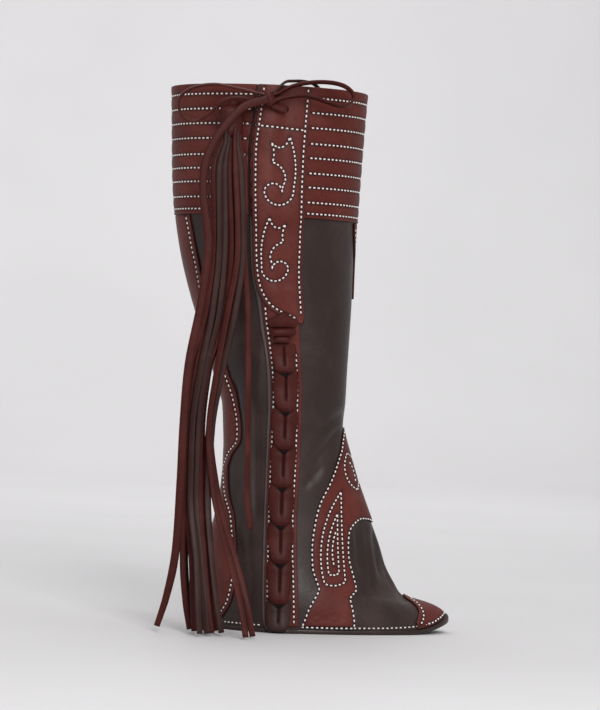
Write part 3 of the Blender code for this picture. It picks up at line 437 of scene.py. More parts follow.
@dataclass
class Graph:
    """A material's nodes."""

    material: bpy.types.Material

    @classmethod
    def start(cls, name: str) -> tuple[Graph, bpy.types.Node]:
        """Makes a material.

        Args:
            name: Its name.

        Returns:
            Its graph and its main shader.
        """
        material = bpy.data.materials.new(name)
        material.use_nodes = True
        return cls(material), material.node_tree.nodes["Principled BSDF"]

    def node(self, kind: str, settings: dict[str, Any] | None = None,
             sockets: dict[Any, Any] | None = None) -> bpy.types.Node:
        """Adds a node.

        Args:
            kind: The node's type.
            settings: Its properties, set first.
            sockets: Values or links of its input sockets, by name or number.

        Returns:
            The node.
        """
        made = self.material.node_tree.nodes.new(kind)
        for name, value in (settings or {}).items():
            if name == "stops":
                ramp = made.color_ramp
                while len(ramp.elements) < len(value):
                    ramp.elements.new(0.5)
                for element, (position, colour) in zip(ramp.elements, value):
                    element.position = position
                    element.color = (*colour, 1.0) if len(colour) == 3 else colour
            else:
                setattr(made, name, value)
        for name, value in (sockets or {}).items():
            self.feed(made.inputs[name], value)
        return made

    def feed(self, socket: bpy.types.NodeSocket, value: Any) -> None:
        """Sets a socket, or links what feeds it.

        Args:
            socket: The socket.
            value: A Flow, a colour or a plain value.
        """
        if isinstance(value, Flow):
            self.material.node_tree.links.new(value.socket, socket)
        elif isinstance(value, tuple) and len(value) == 3 and socket.type == "RGBA":
            socket.default_value = (*value, 1.0)
        else:
            socket.default_value = value

    def flow(self, kind: str, output: Any, settings: dict[str, Any] | None = None,
             sockets: dict[Any, Any] | None = None) -> Flow:
        """Adds a node and gives one of its outputs."""
        return Flow(self, self.node(kind, settings, sockets).outputs[output])

    def math(self, operation: str, *values: Any) -> Flow:
        """A Math node."""
        return self.flow("ShaderNodeMath", 0, {"operation": operation}, dict(enumerate(values)))

    def mix(self, first: Any, second: Any, factor: Any) -> Flow:
        """Mixes two colours."""
        return self.flow("ShaderNodeMix", 2, {"data_type": "RGBA"}, {0: factor, 6: first, 7: second})

    def noise(self, scale: float, detail: float = 3.0, place: Any = None, stretch: float = 0.0) -> Flow:
        """Noise over the surface, from 0 to 1.

        Args:
            scale: How many spots fill a metre.
            detail: How many finer layers it has.
            place: Where it is read, or none for the place on the object.
            stretch: How much it is distorted.

        Returns:
            The noise.
        """
        sockets: dict[Any, Any] = {"Scale": scale, "Detail": detail, "Roughness": 0.55, "Distortion": stretch}
        sockets["Vector"] = self.place() if place is None else place
        return self.flow("ShaderNodeTexNoise", 0, {}, sockets)

    def place(self) -> Flow:
        """The place on the object."""
        return self.flow("ShaderNodeTexCoord", "Object")

    def attribute(self, name: str) -> Flow:
        """A number that is kept on the mesh's points."""
        return self.flow("ShaderNodeAttribute", "Fac", {"attribute_name": name})

    def bump(self, height: Flow, strength: float, distance: float, normal: Flow | None = None) -> Flow:
        """A Bump node.

        Args:
            height: The relief.
            strength: Its strength.
            distance: Its depth in metres.
            normal: A coarser or finer normal that it adds to.

        Returns:
            The normal.
        """
        sockets: dict[Any, Any] = {"Height": height, "Strength": strength, "Distance": distance}
        if normal is not None:
            sockets["Normal"] = normal
        return self.flow("ShaderNodeBump", 0, {}, sockets)


@dataclass
class Flow:
    """An output socket that can be used in sums."""

    graph: Graph
    socket: bpy.types.NodeSocket

    def __add__(self, other: Any) -> Flow:
        """Sum."""
        return self.graph.math("ADD", self, other)

    def __radd__(self, other: Any) -> Flow:
        """Sum."""
        return self.graph.math("ADD", other, self)

    def __sub__(self, other: Any) -> Flow:
        """Difference."""
        return self.graph.math("SUBTRACT", self, other)

    def __rsub__(self, other: Any) -> Flow:
        """Difference."""
        return self.graph.math("SUBTRACT", other, self)

    def __mul__(self, other: Any) -> Flow:
        """Product."""
        return self.graph.math("MULTIPLY", self, other)

    def __rmul__(self, other: Any) -> Flow:
        """Product."""
        return self.graph.math("MULTIPLY", other, self)

    def clamp(self) -> Flow:
        """Kept from 0 to 1."""
        return self.graph.flow("ShaderNodeClamp", 0, {}, {"Value": self})

    def between(self, low: float, high: float) -> Flow:
        """0 below low and 1 above high, with a soft step between."""
        return self.graph.flow("ShaderNodeMapRange", 0, {"interpolation_type": "SMOOTHSTEP"},
                               {"Value": self, "From Min": low, "From Max": high})


Colour = tuple[float, float, float]


@dataclass(frozen=True)
class LeatherFinish:
    """Smooth leather with a fine grain."""

    name: str
    slot: str
    base: Colour
    light: Colour
    deep: Colour
    roughness: float
    grain: float = 0.3
    gloss: float = 0.3
    # The grey of a painted highlight along a cut edge, where light catches it.
    worn: Colour = (0.105, 0.085, 0.078)

    def make(self) -> bpy.types.Material:
        """Builds the material.

        Returns:
            The material.
        """
        graph, shader = Graph.start(self.name)
        cloud = graph.noise(28.0, 4.0, stretch=0.6)
        fleck = graph.noise(420.0, 3.0)
        rim, seam = graph.attribute("rim"), graph.attribute("seam")
        colour = graph.mix(self.base, self.light, cloud.between(0.42, 0.72) * 0.75)
        colour = graph.mix(colour, self.deep, fleck.between(0.5, 0.78) * 0.35)
        # Painted highlight: grey along the front panel's closure edge, where light catches the cut edge.
        colour = graph.mix(colour, self.worn, graph.attribute("worn") * (cloud * 0.8 + 0.35))
        # Painted shade: darker along the sewing and in the loops' grooves, eyes and lower lips.
        colour = graph.mix(colour, self.deep, (seam * 0.85 + rim * 0.55).clamp())
        graph.feed(shader.inputs["Base Color"], colour)
        graph.feed(shader.inputs["Roughness"],
                   cloud * 0.16 + fleck * 0.1 + (self.roughness - 0.13) + seam * 0.12)
        shader.inputs["Specular IOR Level"].default_value = self.gloss
        cells = graph.flow("ShaderNodeTexVoronoi", "Distance", {"feature": "SMOOTH_F1"},
                           {"Vector": graph.place(), "Scale": 950.0, "Smoothness": 0.6, "Randomness": 1.0})
        pores = graph.noise(2600.0, 2.0)
        fine = graph.bump(cells * 0.8 + pores * 0.4, self.grain, 0.00016)
        soft = graph.bump(cloud + graph.noise(95.0, 2.0) * 0.5, 0.35, 0.0009, fine)
        graph.feed(shader.inputs["Normal"], soft)
        return graph.material


@dataclass(frozen=True)
class ThreadFinish:
    """Waxed sewing thread."""

    name: str
    base: Colour
    shade: Colour

    def make(self) -> bpy.types.Material:
        """Builds the material.

        Returns:
            The material.
        """
        graph, shader = Graph.start(self.name)
        twist = graph.noise(1800.0, 2.0)
        graph.feed(shader.inputs["Base Color"], graph.mix(self.base, self.shade, twist.between(0.45, 0.8)))
        graph.feed(shader.inputs["Normal"], graph.bump(twist, 0.5, 0.0002))
        shader.inputs["Roughness"].default_value = 0.6
        return graph.material


@dataclass(frozen=True)
class PlainFinish:
    """An even surface, for the floor and for the painted shade inside holes."""

    name: str
    base: Colour
    roughness: float

    def make(self) -> bpy.types.Material:
        """Builds the material.

        Returns:
            The material.
        """
        graph, shader = Graph.start(self.name)
        veil = graph.noise(3.0, 2.0)
        soft = tuple(0.97 * value for value in self.base)
        graph.feed(shader.inputs["Base Color"], graph.mix(self.base, soft, veil.between(0.3, 0.7)))
        shader.inputs["Roughness"].default_value = self.roughness
        shader.inputs["Specular IOR Level"].default_value = 0.2
        return graph.material


DARK = LeatherFinish("dark_brown_leather", "dark_leather", (0.0265, 0.0145, 0.0128), (0.046, 0.0270, 0.0240),
                     (0.004, 0.002, 0.002), 0.36, 0.25, 0.31)
RED = LeatherFinish("oxblood_leather", "oxblood_leather", (0.096, 0.0170, 0.0125), (0.136, 0.0310, 0.0240),
                    (0.014, 0.002, 0.002), 0.43, 0.3, 0.18)
THONG = LeatherFinish("oxblood_thong", "oxblood_thong", (0.050, 0.0085, 0.0065), (0.082, 0.0175, 0.0135),
                      (0.008, 0.001, 0.001), 0.47, 0.35, 0.13)
DARK_THONG = LeatherFinish("dark_thong", "oxblood_thong", (0.033, 0.0130, 0.0110), (0.052, 0.0250, 0.0215),
                           (0.004, 0.002, 0.002), 0.46, 0.35, 0.16)
THREAD = ThreadFinish("ivory_thread", (0.82, 0.78, 0.75), (0.50, 0.44, 0.42))
# Near-black painted shade for the insides of holes.
HOLE_SHADE = PlainFinish("painted_hole_shade", (0.004, 0.002, 0.002), 0.8)
FLOOR = PlainFinish("pale_floor", (0.665, 0.655, 0.665), 0.6)


# ---------------------------------------------------------------- mesh tools


# Millimetres from a cut edge to the net's lines beside it, the zone that they take up, and the width
# under which the zone is narrowed.
EDGE_LOOPS = (0.0, 0.22, 0.55, 1.1)
EDGE_ZONE, NARROW = 1.2, 4.0


def loops(length: float, step: float) -> Array:
    """Distances of a net's lines over a length, close together along its cut edges.

    Args:
        length: The length in millimetres.
        step: The widest step between lines.

    Returns:
        Distances from 0 to the length.
    """
    start = [d for d in EDGE_LOOPS if d < length * 0.3]
    end = [length - d for d in start]
    middle = np.linspace(start[-1], end[-1], max(2, math.ceil((end[-1] - start[-1]) / step) + 1))
    return np.concatenate((start[:-1], middle, end[:-1][::-1]))


class SeamField:
    """Finds how near places are to the sewing, for the dent that it pulls into the leather and the painted
    shade in that dent.
    """

    def __init__(self) -> None:
        """Starts with no sewing."""
        self.points: list[Array] = []
        self.tree: kdtree.KDTree | None = None

    def add(self, points: Array) -> None:
        """Adds the points of a sewn line."""
        self.points.append(points)

    def near(self, points: Array, width: float) -> Array:
        """How near points are to a sewn line: 1 on it, falling to 0 over the width.

        Args:
            points: The places.
            width: Millimetres over which it falls off.

        Returns:
            1 on a sewn line, falling to 0 over the width.
        """
        if self.tree is None:
            every = np.concatenate(self.points)
            self.tree = kdtree.KDTree(len(every))
            for number, point in enumerate(every):
                self.tree.insert(point, number)
            self.tree.balance()
        flat = points.reshape(-1, 3)
        distance = np.array([self.tree.find(point)[2] for point in flat])
        return np.exp(-((distance / width) ** 2)).reshape(points.shape[:-1])


SEAMS = SeamField()


def add_piece(name: str, mesh: bpy.types.Mesh, materials: Sequence[bpy.types.Material],
              nodes: Sequence[str]) -> bpy.types.Object:
    """Puts a mesh made in the leg's millimetres into the scene.

    Args:
        name: The piece's name.
        mesh: Its mesh.
        materials: Its materials, in order.
        nodes: The solids that it stands for.

    Returns:
        The new object.
    """
    mesh.transform(TO_WORLD)
    for material in materials:
        mesh.materials.append(material)
    mesh.shade_smooth()
    obj = bpy.data.objects.new(name, mesh)
    bpy.context.scene.collection.objects.link(obj)
    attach(obj, "root")
    if nodes:
        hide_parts(*nodes)
    LOG.info("%s: %d faces", name, len(mesh.polygons))
    return obj


def finished(net: bmesh.types.BMesh, name: str) -> bpy.types.Mesh:
    """The mesh of a net of faces.

    Args:
        net: The faces, which are used up.
        name: The mesh's name.

    Returns:
        The mesh.
    """
    mesh = bpy.data.meshes.new(name)
    net.to_mesh(mesh)
    net.free()
    return mesh


def put_numbers(mesh: bpy.types.Mesh, name: str, values: Array) -> None:
    """Keeps a number on each point of a mesh."""
    mesh.attributes.new(name, "FLOAT", "POINT").data.foreach_set("value", np.asarray(values, np.float32))


def two_sheets(name: str, back: Array, face: Array, rim: Array, seam: Array) -> bpy.types.Mesh:
    """A closed mesh between two nets of points.

    Args:
        name: The mesh's name.
        back: The back's points, in rows and columns.
        face: The face's points.
        rim: How near each place is to an edge, from 0 to 1.
        seam: How near it is to the sewing, a groove or an eye, where it is darkened as painted shade.

    Returns:
        The mesh.
    """
    rows, columns = back.shape[:2]
    number = np.arange(rows * columns).reshape(rows, columns)
    quads = np.stack((number[:-1, :-1], number[:-1, 1:], number[1:, 1:], number[1:, :-1]),
                     axis=-1).reshape(-1, 4)
    ring = np.concatenate((number[0], number[1:, -1], number[-1, -2::-1], number[-2:0:-1, 0]))
    after, shift = np.roll(ring, -1), rows * columns
    sides = np.stack((after, ring, ring + shift, after + shift), axis=-1)
    faces = np.concatenate((quads, quads[:, ::-1] + shift, sides))
    mesh = bpy.data.meshes.new(name)
    mesh.from_pydata(np.concatenate((face.reshape(-1, 3), back.reshape(-1, 3))).tolist(), [], faces.tolist())
    put_numbers(mesh, "rim", np.concatenate((rim.ravel(), np.ones(shift))))
    put_numbers(mesh, "seam", np.concatenate((np.clip(seam, 0, 1).ravel(), np.zeros(shift))))
    return mesh


def tube(name: str, rings: Array) -> bpy.types.Mesh:
    """A closed mesh over rings of points, with flat ends.

    Args:
        name: The mesh's name.
        rings: The rings, from one end to the other.

    Returns:
        The mesh.
    """
    count, turns = rings.shape[:2]
    number = np.arange(count * turns).reshape(count, turns)
    after = np.roll(number, -1, axis=1)
    quads = np.stack((number[:-1], after[:-1], after[1:], number[1:]), axis=-1).reshape(-1, 4).tolist()
    faces = [*quads, number[0][::-1].tolist(), number[-1].tolist()]
    mesh = bpy.data.meshes.new(name)
    mesh.from_pydata(rings.reshape(-1, 3).tolist(), [], faces)
    return mesh


def joined(name: str, parts: Sequence[tuple[bpy.types.Mesh, int]]) -> bpy.types.Mesh:
    """Joins closed meshes into one.

    Args:
        name: The joined mesh's name.
        parts: The meshes, which are used up, and the number of each one's material.

    Returns:
        The joined mesh.
    """
    net = bmesh.new()
    for part, number in parts:
        for face in part.polygons:
            face.material_index = number
        net.from_mesh(part)
        bpy.data.meshes.remove(part)
    bmesh.ops.recalc_face_normals(net, faces=net.faces)
    return finished(net, name)


@dataclass
class Sheet:
    """A piece of leather: a net of angles and heights on the leg, with a back, a face and cut sides."""

    name: str
    angle: Array
    height: Array
    lift: Any
    thickness: float
    lapped: bool = False
    dent: float = 0.35
    pillow: Any = 0.0
    # Width of a painted highlight along the first column's cut edge, or 0 for none.
    edge_highlight_width: float = 0.0

    @staticmethod
    def edge_distance(points: Array) -> Array:
        """Millimetres from the nearest cut edge.

        Args:
            points: The net's points.

        Returns:
            The distance of each.
        """
        rows = np.linalg.norm(np.diff(points, axis=0), axis=-1)
        columns = np.linalg.norm(np.diff(points, axis=1), axis=-1)
        up = np.concatenate((np.zeros((1, points.shape[1])), np.cumsum(rows, axis=0)))
        along = np.concatenate((np.zeros((points.shape[0], 1)), np.cumsum(columns, axis=1)), axis=1)
        return np.minimum.reduce([up, up[-1:] - up, along, along[:, -1:] - along])

    def mesh(self) -> bpy.types.Mesh:
        """Builds the closed mesh. Its points keep how near they are to an edge and to a seam.

        Returns:
            The mesh.
        """
        back = LEG.on(self.angle, self.height, self.lift, self.lapped)
        distance = self.edge_distance(back)
        round_off = np.clip(1 - distance / 0.55, 0.0, 1.0) ** 2
        flat = LEG.on(self.angle, self.height, self.lift + self.thickness, self.lapped)
        # Nearness to the sewing dents the face and darkens it as painted shade.
        seam = SEAMS.near(flat, 1.5) if self.dent else np.zeros(distance.shape)
        out = self.lift + self.thickness * (1 - 0.4 * round_off) - self.dent * seam + self.pillow
        face = LEG.on(self.angle, self.height, out, self.lapped)
        rim = np.clip(1 - distance, 0.0, 1.0) ** 2
        if not self.edge_highlight_width:
            return two_sheets(self.name, back, face, rim, seam)
        # Paints a highlight along the first column's cut edge, where light catches it; the sheet's darker cut
        # edges are kept faint.
        mesh = two_sheets(self.name, back, face, rim * 0.3, seam)
        start = np.linalg.norm(face - face[:, :1], axis=-1)
        worn = np.exp(-((start / self.edge_highlight_width) ** 4))
        put_numbers(mesh, "worn", np.concatenate((worn.ravel(), np.zeros(worn.size))))
        return mesh

    def build(self, material: bpy.types.Material, node: str, slot: str,
              rests_on: Sequence[str] = ()) -> bpy.types.Object:
        """Args:
            material: Its leather.
            node: The solid that it stands for.
            slot: The record's material slot. Not used.
            rests_on: The pieces under it. Not used.

        Returns:
            The new object.
        """
        obj = add_piece(self.name, self.mesh(), [material], [node])
        net = LEG.bare(self.angle, self.height) * MM
        across, up = np.diff(net, axis=1), np.diff(net, axis=0)
        # A band narrower than 10 mm is stated as 10.5 mm wide, with its true area.
        width, length = (max(float(np.linalg.norm(step, axis=-1).sum(axis=axis).max()), 0.0105)
                         for step, axis in ((across, 1), (up, 0)))
        area = np.linalg.norm(np.cross(across[:-1], up[:, :-1]), axis=-1).sum()
        area = float(min(max(area, 0.31 * width * length), width * length))
        return obj


class Outline:
    """Nets of angles and heights for the pieces' shapes."""

    @staticmethod
    def heights(low: float, high: float, step: float) -> Array:
        """Rows between two heights, at about this step in millimetres up the front of the leg.

        Args:
            low: The lowest row.
            high: The highest row.
            step: The widest step in millimetres.

        Returns:
            The rows' heights.
        """
        fine = np.linspace(low, high, 200)
        middle = LEG.bare(np.full(200, -1.6), fine)
        travelled = np.concatenate(([0.0], np.cumsum(np.linalg.norm(np.diff(middle, axis=0), axis=1))))
        return np.interp(loops(travelled[-1], step), travelled, fine)

    @staticmethod
    def across(first: Array, last: Array, height: Array, step: float) -> tuple[Array, Array]:
        """A net between two borders that are given as angles.

        Args:
            first: Angles of the first border at each height.
            last: Angles of the last border.
            height: The heights.
            step: The widest step across, in millimetres.

        Returns:
            The net's angles and heights.
        """
        share = np.linspace(0, 1, 60)
        angles = first[:, None] + (last - first)[:, None] * share
        points = LEG.bare(angles, np.broadcast_to(height[:, None], angles.shape))
        lengths = np.linalg.norm(np.diff(points, axis=1), axis=-1)
        travelled = np.concatenate((np.zeros((len(height), 1)), np.cumsum(lengths, axis=1)), axis=1)
        widest = travelled[:, -1].max()
        lines = loops(widest, step)
        from_end = widest - lines
        found = []
        for row, travel in enumerate(travelled):
            width = travel[-1]
            scaled = lines * width / widest
            fit = min(1.0, width / NARROW)
            scaled = np.where(from_end < EDGE_ZONE, width - from_end * fit, scaled)
            scaled = np.where(lines < EDGE_ZONE, lines * fit, scaled)
            found.append(np.interp(scaled, travel, angles[row]))
        return np.array(found), np.broadcast_to(height[:, None], (len(height), len(lines)))

    @staticmethod
    def strap(table: Sequence[Sequence[float]], step: float) -> tuple[Array, Array, Array]:
        """A net for a strap on the outer side, from its table. Its rows run upwards.

        Args:
            table: The strap's table.
            step: The widest step in millimetres.

        Returns:
            The net's angles, its heights, and how far it lies over the leg.
        """
        z = np.array(column(table, 0))
        places = np.interp(-(z[0] - loops(z[0] - z[-1], step)), -z, np.arange(len(z)))[::-1]
        z, left, right, lift = (smooth(column(table, index), places) for index in range(4))
        width = right - left
        widest = width.max()
        lines = loops(widest, step)
        fit = np.minimum(1.0, width / NARROW)[:, None]
        scaled = lines * (width / widest)[:, None]
        scaled = np.where(widest - lines < EDGE_ZONE, width[:, None] - (widest - lines) * fit, scaled)
        x = np.where(lines < EDGE_ZONE, lines * fit, scaled) + left[:, None]
        angle, height = LEG.locate(x, np.broadcast_to(z[:, None], x.shape))
        return angle, height, np.broadcast_to(lift[:, None], x.shape)


# ---------------------------------------------------------------- sewing


STITCH_PITCH, STITCH_LENGTH, STITCH_WIDTH = 3.75, 2.15, 1.25
SCROLL_PITCH = 3.4


@dataclass
class Sewing:
    """Rows of stitches for one piece."""

    name: str
    sunk: float = 0.3

    def __post_init__(self) -> None:
        """Starts with no stitches."""
        self.starts: list[Array] = []
        self.ends: list[Array] = []
        self.ups: list[Array] = []

    def line(self, angle: Array, height: Array, out: Any, lapped: bool = False,
             pitch: float = STITCH_PITCH) -> None:
        """Sews along places on the leg.

        Args:
            angle: Angles of the line.
            height: Heights of the line.
            out: How far the leather's face stands over the leg there.
            lapped: Whether the leather rises over the closure's lap.
            pitch: Millimetres from one stitch to the next.
        """
        angle, height = np.asarray(angle, float), np.asarray(height, float)
        out = np.broadcast_to(np.asarray(out, float), angle.shape)
        points = LEG.on(angle, height, out, lapped)
        travelled = np.concatenate(([0.0], np.cumsum(np.linalg.norm(np.diff(points, axis=0), axis=1))))
        count = max(1, round(travelled[-1] / pitch))
        marks = (np.arange(count) + 0.5) * travelled[-1] / count
        half = STITCH_LENGTH / 2 * min(1.0, travelled[-1] / count / pitch + 0.1)
        SEAMS.add(np.stack([np.interp(np.arange(0, travelled[-1], 1.0), travelled,
                                      points[:, i]) for i in range(3)],
                           axis=-1))
        places = []
        for shift in (-half, 0.0, half):
            at = np.clip(marks + shift, 0, travelled[-1])
            places.append((np.interp(at, travelled, angle), np.interp(at, travelled, height),
                           np.interp(at, travelled, out)))
        self.starts.append(LEG.on(*places[0], lapped))
        self.ends.append(LEG.on(*places[2], lapped))
        self.ups.append(LEG.normal(places[1][0], places[1][1]))

    def arcs(self, ends: Sequence[Sequence[float]], out: Any, side: Side = Side.OUTER) -> None:
        """Sews a chain of arcs seen from one side.

        Args:
            ends: (x, z, bulge) of each end; the bulge is that of the arc to the next end.
            out: The leather face's height over the leg, or a function that gives it from z.
            side: The side of the leg.
        """
        for (x, z, bulge), (next_x, next_z, _) in zip(ends, ends[1:]):
            places = arc((x, z), (next_x, next_z), bulge)
            angle, height = LEG.locate(places[:, 0], places[:, 1], side)
            self.line(angle, height, out(places[:, 1]) if callable(out) else out, True, SCROLL_PITCH)

    def build(self, thread: bpy.types.Material, hole: bpy.types.Material) -> None:
        """Makes the stitches, with a disc of painted shade for the needle hole at each end of each one.

        Args:
            thread: The thread's finish.
            hole: The finish of the painted shade in the needle holes.
        """
        start, end, up = (np.concatenate(parts) for parts in (self.starts, self.ends, self.ups))
        along = end - start
        length = np.linalg.norm(along, axis=1, keepdims=True)
        along = along / length
        side = np.cross(along, up)
        side /= np.linalg.norm(side, axis=1, keepdims=True)
        up = np.cross(side, along)
        count, turns = len(start), 6
        # Along a stitch: share of its length, share of its width, and height over the leather.
        profile = ((0.0, 0.55, -0.28), (0.16, 0.95, 0.02), (0.5, 1.0, 0.14), (0.84, 0.95, 0.02),
                   (1.0, 0.55, -0.28))
        rings = []
        for share, wide, raised in profile:
            middle = start + along * length * share + up * (raised - self.sunk)
            for turn in range(turns):
                a = 2 * math.pi * turn / turns
                rings.append(middle + side * math.cos(a) * wide * STITCH_WIDTH / 2
                             + up * math.sin(a) * wide * STITCH_WIDTH * 0.36)
        per = len(profile) * turns
        points = np.stack(rings, axis=1).reshape(-1, 3)
        faces: list[list[int]] = []
        pattern = [[r * turns + t, r * turns + (t + 1) % turns, (r + 1) * turns + (t + 1) % turns,
                    (r + 1) * turns + t]
                   for r in range(len(profile) - 1) for t in range(turns)]
        pattern += [list(range(turns))[::-1], list(range(per - turns, per))]
        for number in range(count):
            faces += [[number * per + corner for corner in face] for face in pattern]
        marks = len(faces)
        base = len(points)
        # Discs of painted shade where the needle holes are.
        discs = []
        for middle in (start - along * 0.15, end + along * 0.15):
            for turn in range(turns):
                a = 2 * math.pi * turn / turns
                disc = along * math.cos(a) * 0.55 + side * math.sin(a) * 0.5
                discs.append(middle + disc + up * (0.05 - self.sunk))
        points = np.concatenate((points, np.stack(discs, axis=1).reshape(-1, 3)))
        for number in range(2 * count):
            faces.append([base + number * turns + turn for turn in range(turns)][::-1])
        mesh = bpy.data.meshes.new(self.name)
        mesh.from_pydata(points.tolist(), [], faces)
        numbers = np.zeros(len(faces), np.int32)
        numbers[marks:] = 1
        mesh.polygons.foreach_set("material_index", numbers)
        add_piece(self.name, mesh, [thread, hole], [])


def soft_curve(points: Array, at: Array) -> Array:
    """Places on a smooth curve through points, counted in points from 0.

    Args:
        points: The points.
        at: Places on the curve.

    Returns:
        The points there.
    """
    padded = np.vstack((2 * points[0] - points[1], points, 2 * points[-1] - points[-2]))
    row = np.clip(np.floor(at).astype(int), 0, len(points) - 2)
    t = (at - row)[:, None]
    a, b, c, d = (padded[row + k] for k in range(4))
    return 0.5 * (2 * b + (c - a) * t + (2 * a - 5 * b + 4 * c - d) * t * t + (3 * b - a - 3 * c + d) * t**3)


def arc(start: Sequence[float], end: Sequence[float], bulge: float, steps: int = 24) -> Array:
    """Places on a circular arc that stands out to the left of the way from start to end by the bulge.

    Args:
        start: Where it starts.
        end: Where it ends.
        bulge: How far its middle stands out.
        steps: How many places.

    Returns:
        The places.
    """
    start, end = np.array(start, float), np.array(end, float)
    chord = end - start
    length = float(np.linalg.norm(chord))
    share = np.linspace(0, 1, steps)
    if abs(bulge) < 1e-3:
        return start + chord * share[:, None]
    left = np.array([-chord[1], chord[0]]) / length
    radius = (length**2 / 4 + bulge**2) / (2 * bulge)
    centre = (start + end) / 2 + left * (bulge - radius)
    half = 2 * math.atan2(2 * abs(bulge), length)
    turn = math.copysign(1.0, bulge) * half * (1 - 2 * share)
    arm = left * radius
    return centre + np.stack([arm[0] * np.cos(turn) - arm[1] * np.sin(turn),
                              arm[0] * np.sin(turn) + arm[1] * np.cos(turn)], axis=-1)


def binding_top(angle: Array) -> Array:
    """The height of the hem binding's upper border on the front panel."""
    return np.interp(np.abs(np.degrees(angle)), column(BINDING_EDGE, 0), column(BINDING_EDGE, 1))


# ---------------------------------------------------------------- the gaiter's sub-assemblies


@dataclass
class Body:
    """The two dark panels, their hem binding and the sewing along the hem."""

    step: float = 2.4
    # The row of stitches over the binding: degrees from the toe, and row.
    hem_row: tuple[tuple[float, float], ...] = (
        (0.0, 1.55), (12.0, 1.39), (21.0, 1.24), (26.0, 1.12), (32.0, 1.08), (42.0, 0.99), (53.0, 0.86),
        (76.0, 0.74),
    )

    def hem_line(self, angle: Array, covers: Sequence[tuple[float, float]]) -> tuple[Array, Array, Array]:
        """The hem's row of stitches: its angles, its heights, and how far it lies over the leg.

        Args:
            angle: The angles.
            covers: Ranges of x in which an overlay lies over the panel.

        Returns:
            The angles, the heights, and the distances over the leg.
        """
        turned = np.abs((angle + math.pi) % (2 * math.pi) - math.pi)
        height = np.interp(np.degrees(turned), column(self.hem_row, 0), column(self.hem_row, 1))
        x = LEG.bare(angle, height)[:, 0]
        covered = np.zeros(len(x))
        for low, high in covers:
            covered = np.maximum(covered, ease((x - low) / 1.5) * ease((high - x) / 1.5))
        return angle, height, 0.1 + covered * (OVERLAY + LAY_GAP - 0.1)

    def sew(self) -> None:
        """Lays the hem's row of stitches."""
        self.front_sewing = Sewing("hem_sewing_front")
        self.back_sewing = Sewing("hem_sewing_back")
        low = np.full(1, 0.74)
        first = LEG.border_angle(CLOSURE_EDGE, low, Side.OUTER, 26.5)[0]
        seam = LEG.border_angle(INNER_SEAM, low, Side.INNER, 1.0)[0]
        covers = ((INSTEP_BACK[0][0], INSTEP_FRONT[0][0]), (112.0, 140.0))
        self.front_sewing.line(*self.hem_line(np.linspace(first, seam, 260), covers))
        edge = LEG.border_angle(CLOSURE_EDGE, low, Side.OUTER, -2.5)[0] + 2 * math.pi
        self.back_sewing.line(*self.hem_line(np.linspace(seam + 0.03, edge, 160), ((-60.0, -43.0),)))

    def build(self, dark: bpy.types.Material) -> None:
        """Builds the panels and the binding.

        Args:
            dark: The dark leather.
        """
        height = Outline.heights(0.0, RIM_ROW, self.step)
        first = LEG.border_angle(CLOSURE_EDGE, height, Side.OUTER)
        seam = LEG.border_angle(INNER_SEAM, height, Side.INNER, SEAM_GAP / 2)
        angle, rows = Outline.across(first, seam, height, self.step)
        # The front panel's closure edge gets a painted highlight.
        Sheet("front_panel_leather", angle, rows, -PANEL, PANEL, lapped=True, dent=0.0,
              edge_highlight_width=2.6).build(dark, "front_panel", DARK.slot)
        seam = LEG.border_angle(INNER_SEAM, height, Side.INNER, -SEAM_GAP / 2)
        edge = LEG.border_angle(CLOSURE_EDGE, height, Side.OUTER, LAP) + 2 * math.pi
        angle, rows = Outline.across(seam, edge, height, self.step)
        Sheet("back_panel_leather", angle, rows, -PANEL, PANEL, dent=0.0).build(dark, "back_panel", DARK.slot)
        low = np.zeros(1)
        first = LEG.border_angle(CLOSURE_EDGE, low, Side.OUTER)[0]
        seam = LEG.border_angle(INNER_SEAM, low, Side.INNER, SEAM_GAP / 2)[0]
        angle = np.linspace(first, seam, 300)
        share = (loops(8.0, 0.9) / 8.0)[:, None]
        angles = np.broadcast_to(angle, (len(share), 300))
        bead = 0.35 * np.sin(np.pi * np.clip(share, 0, 1)) + np.zeros(angles.shape)
        Sheet("front_binding_leather", angles, share * binding_top(angle), LAY_GAP, OVERLAY, lapped=True,
              dent=0.0,
              pillow=bead).build(dark, "front_binding", DARK.slot, ["front_panel_leather"])
        height = Outline.heights(0.0, BINDING_TOP, 0.9)
        seam = LEG.border_angle(INNER_SEAM, height, Side.INNER, -SEAM_GAP / 2)
        edge = LEG.border_angle(CLOSURE_EDGE, height, Side.OUTER, -0.8) + 2 * math.pi
        angle, rows = Outline.across(seam, edge, height, 2.0)
        bead = 0.35 * np.sin(np.pi * rows / BINDING_TOP)
        Sheet("back_binding_leather", angle, rows, LAY_GAP, OVERLAY, dent=0.0,
              pillow=bead).build(dark, "back_binding", DARK.slot, ["back_panel_leather"])


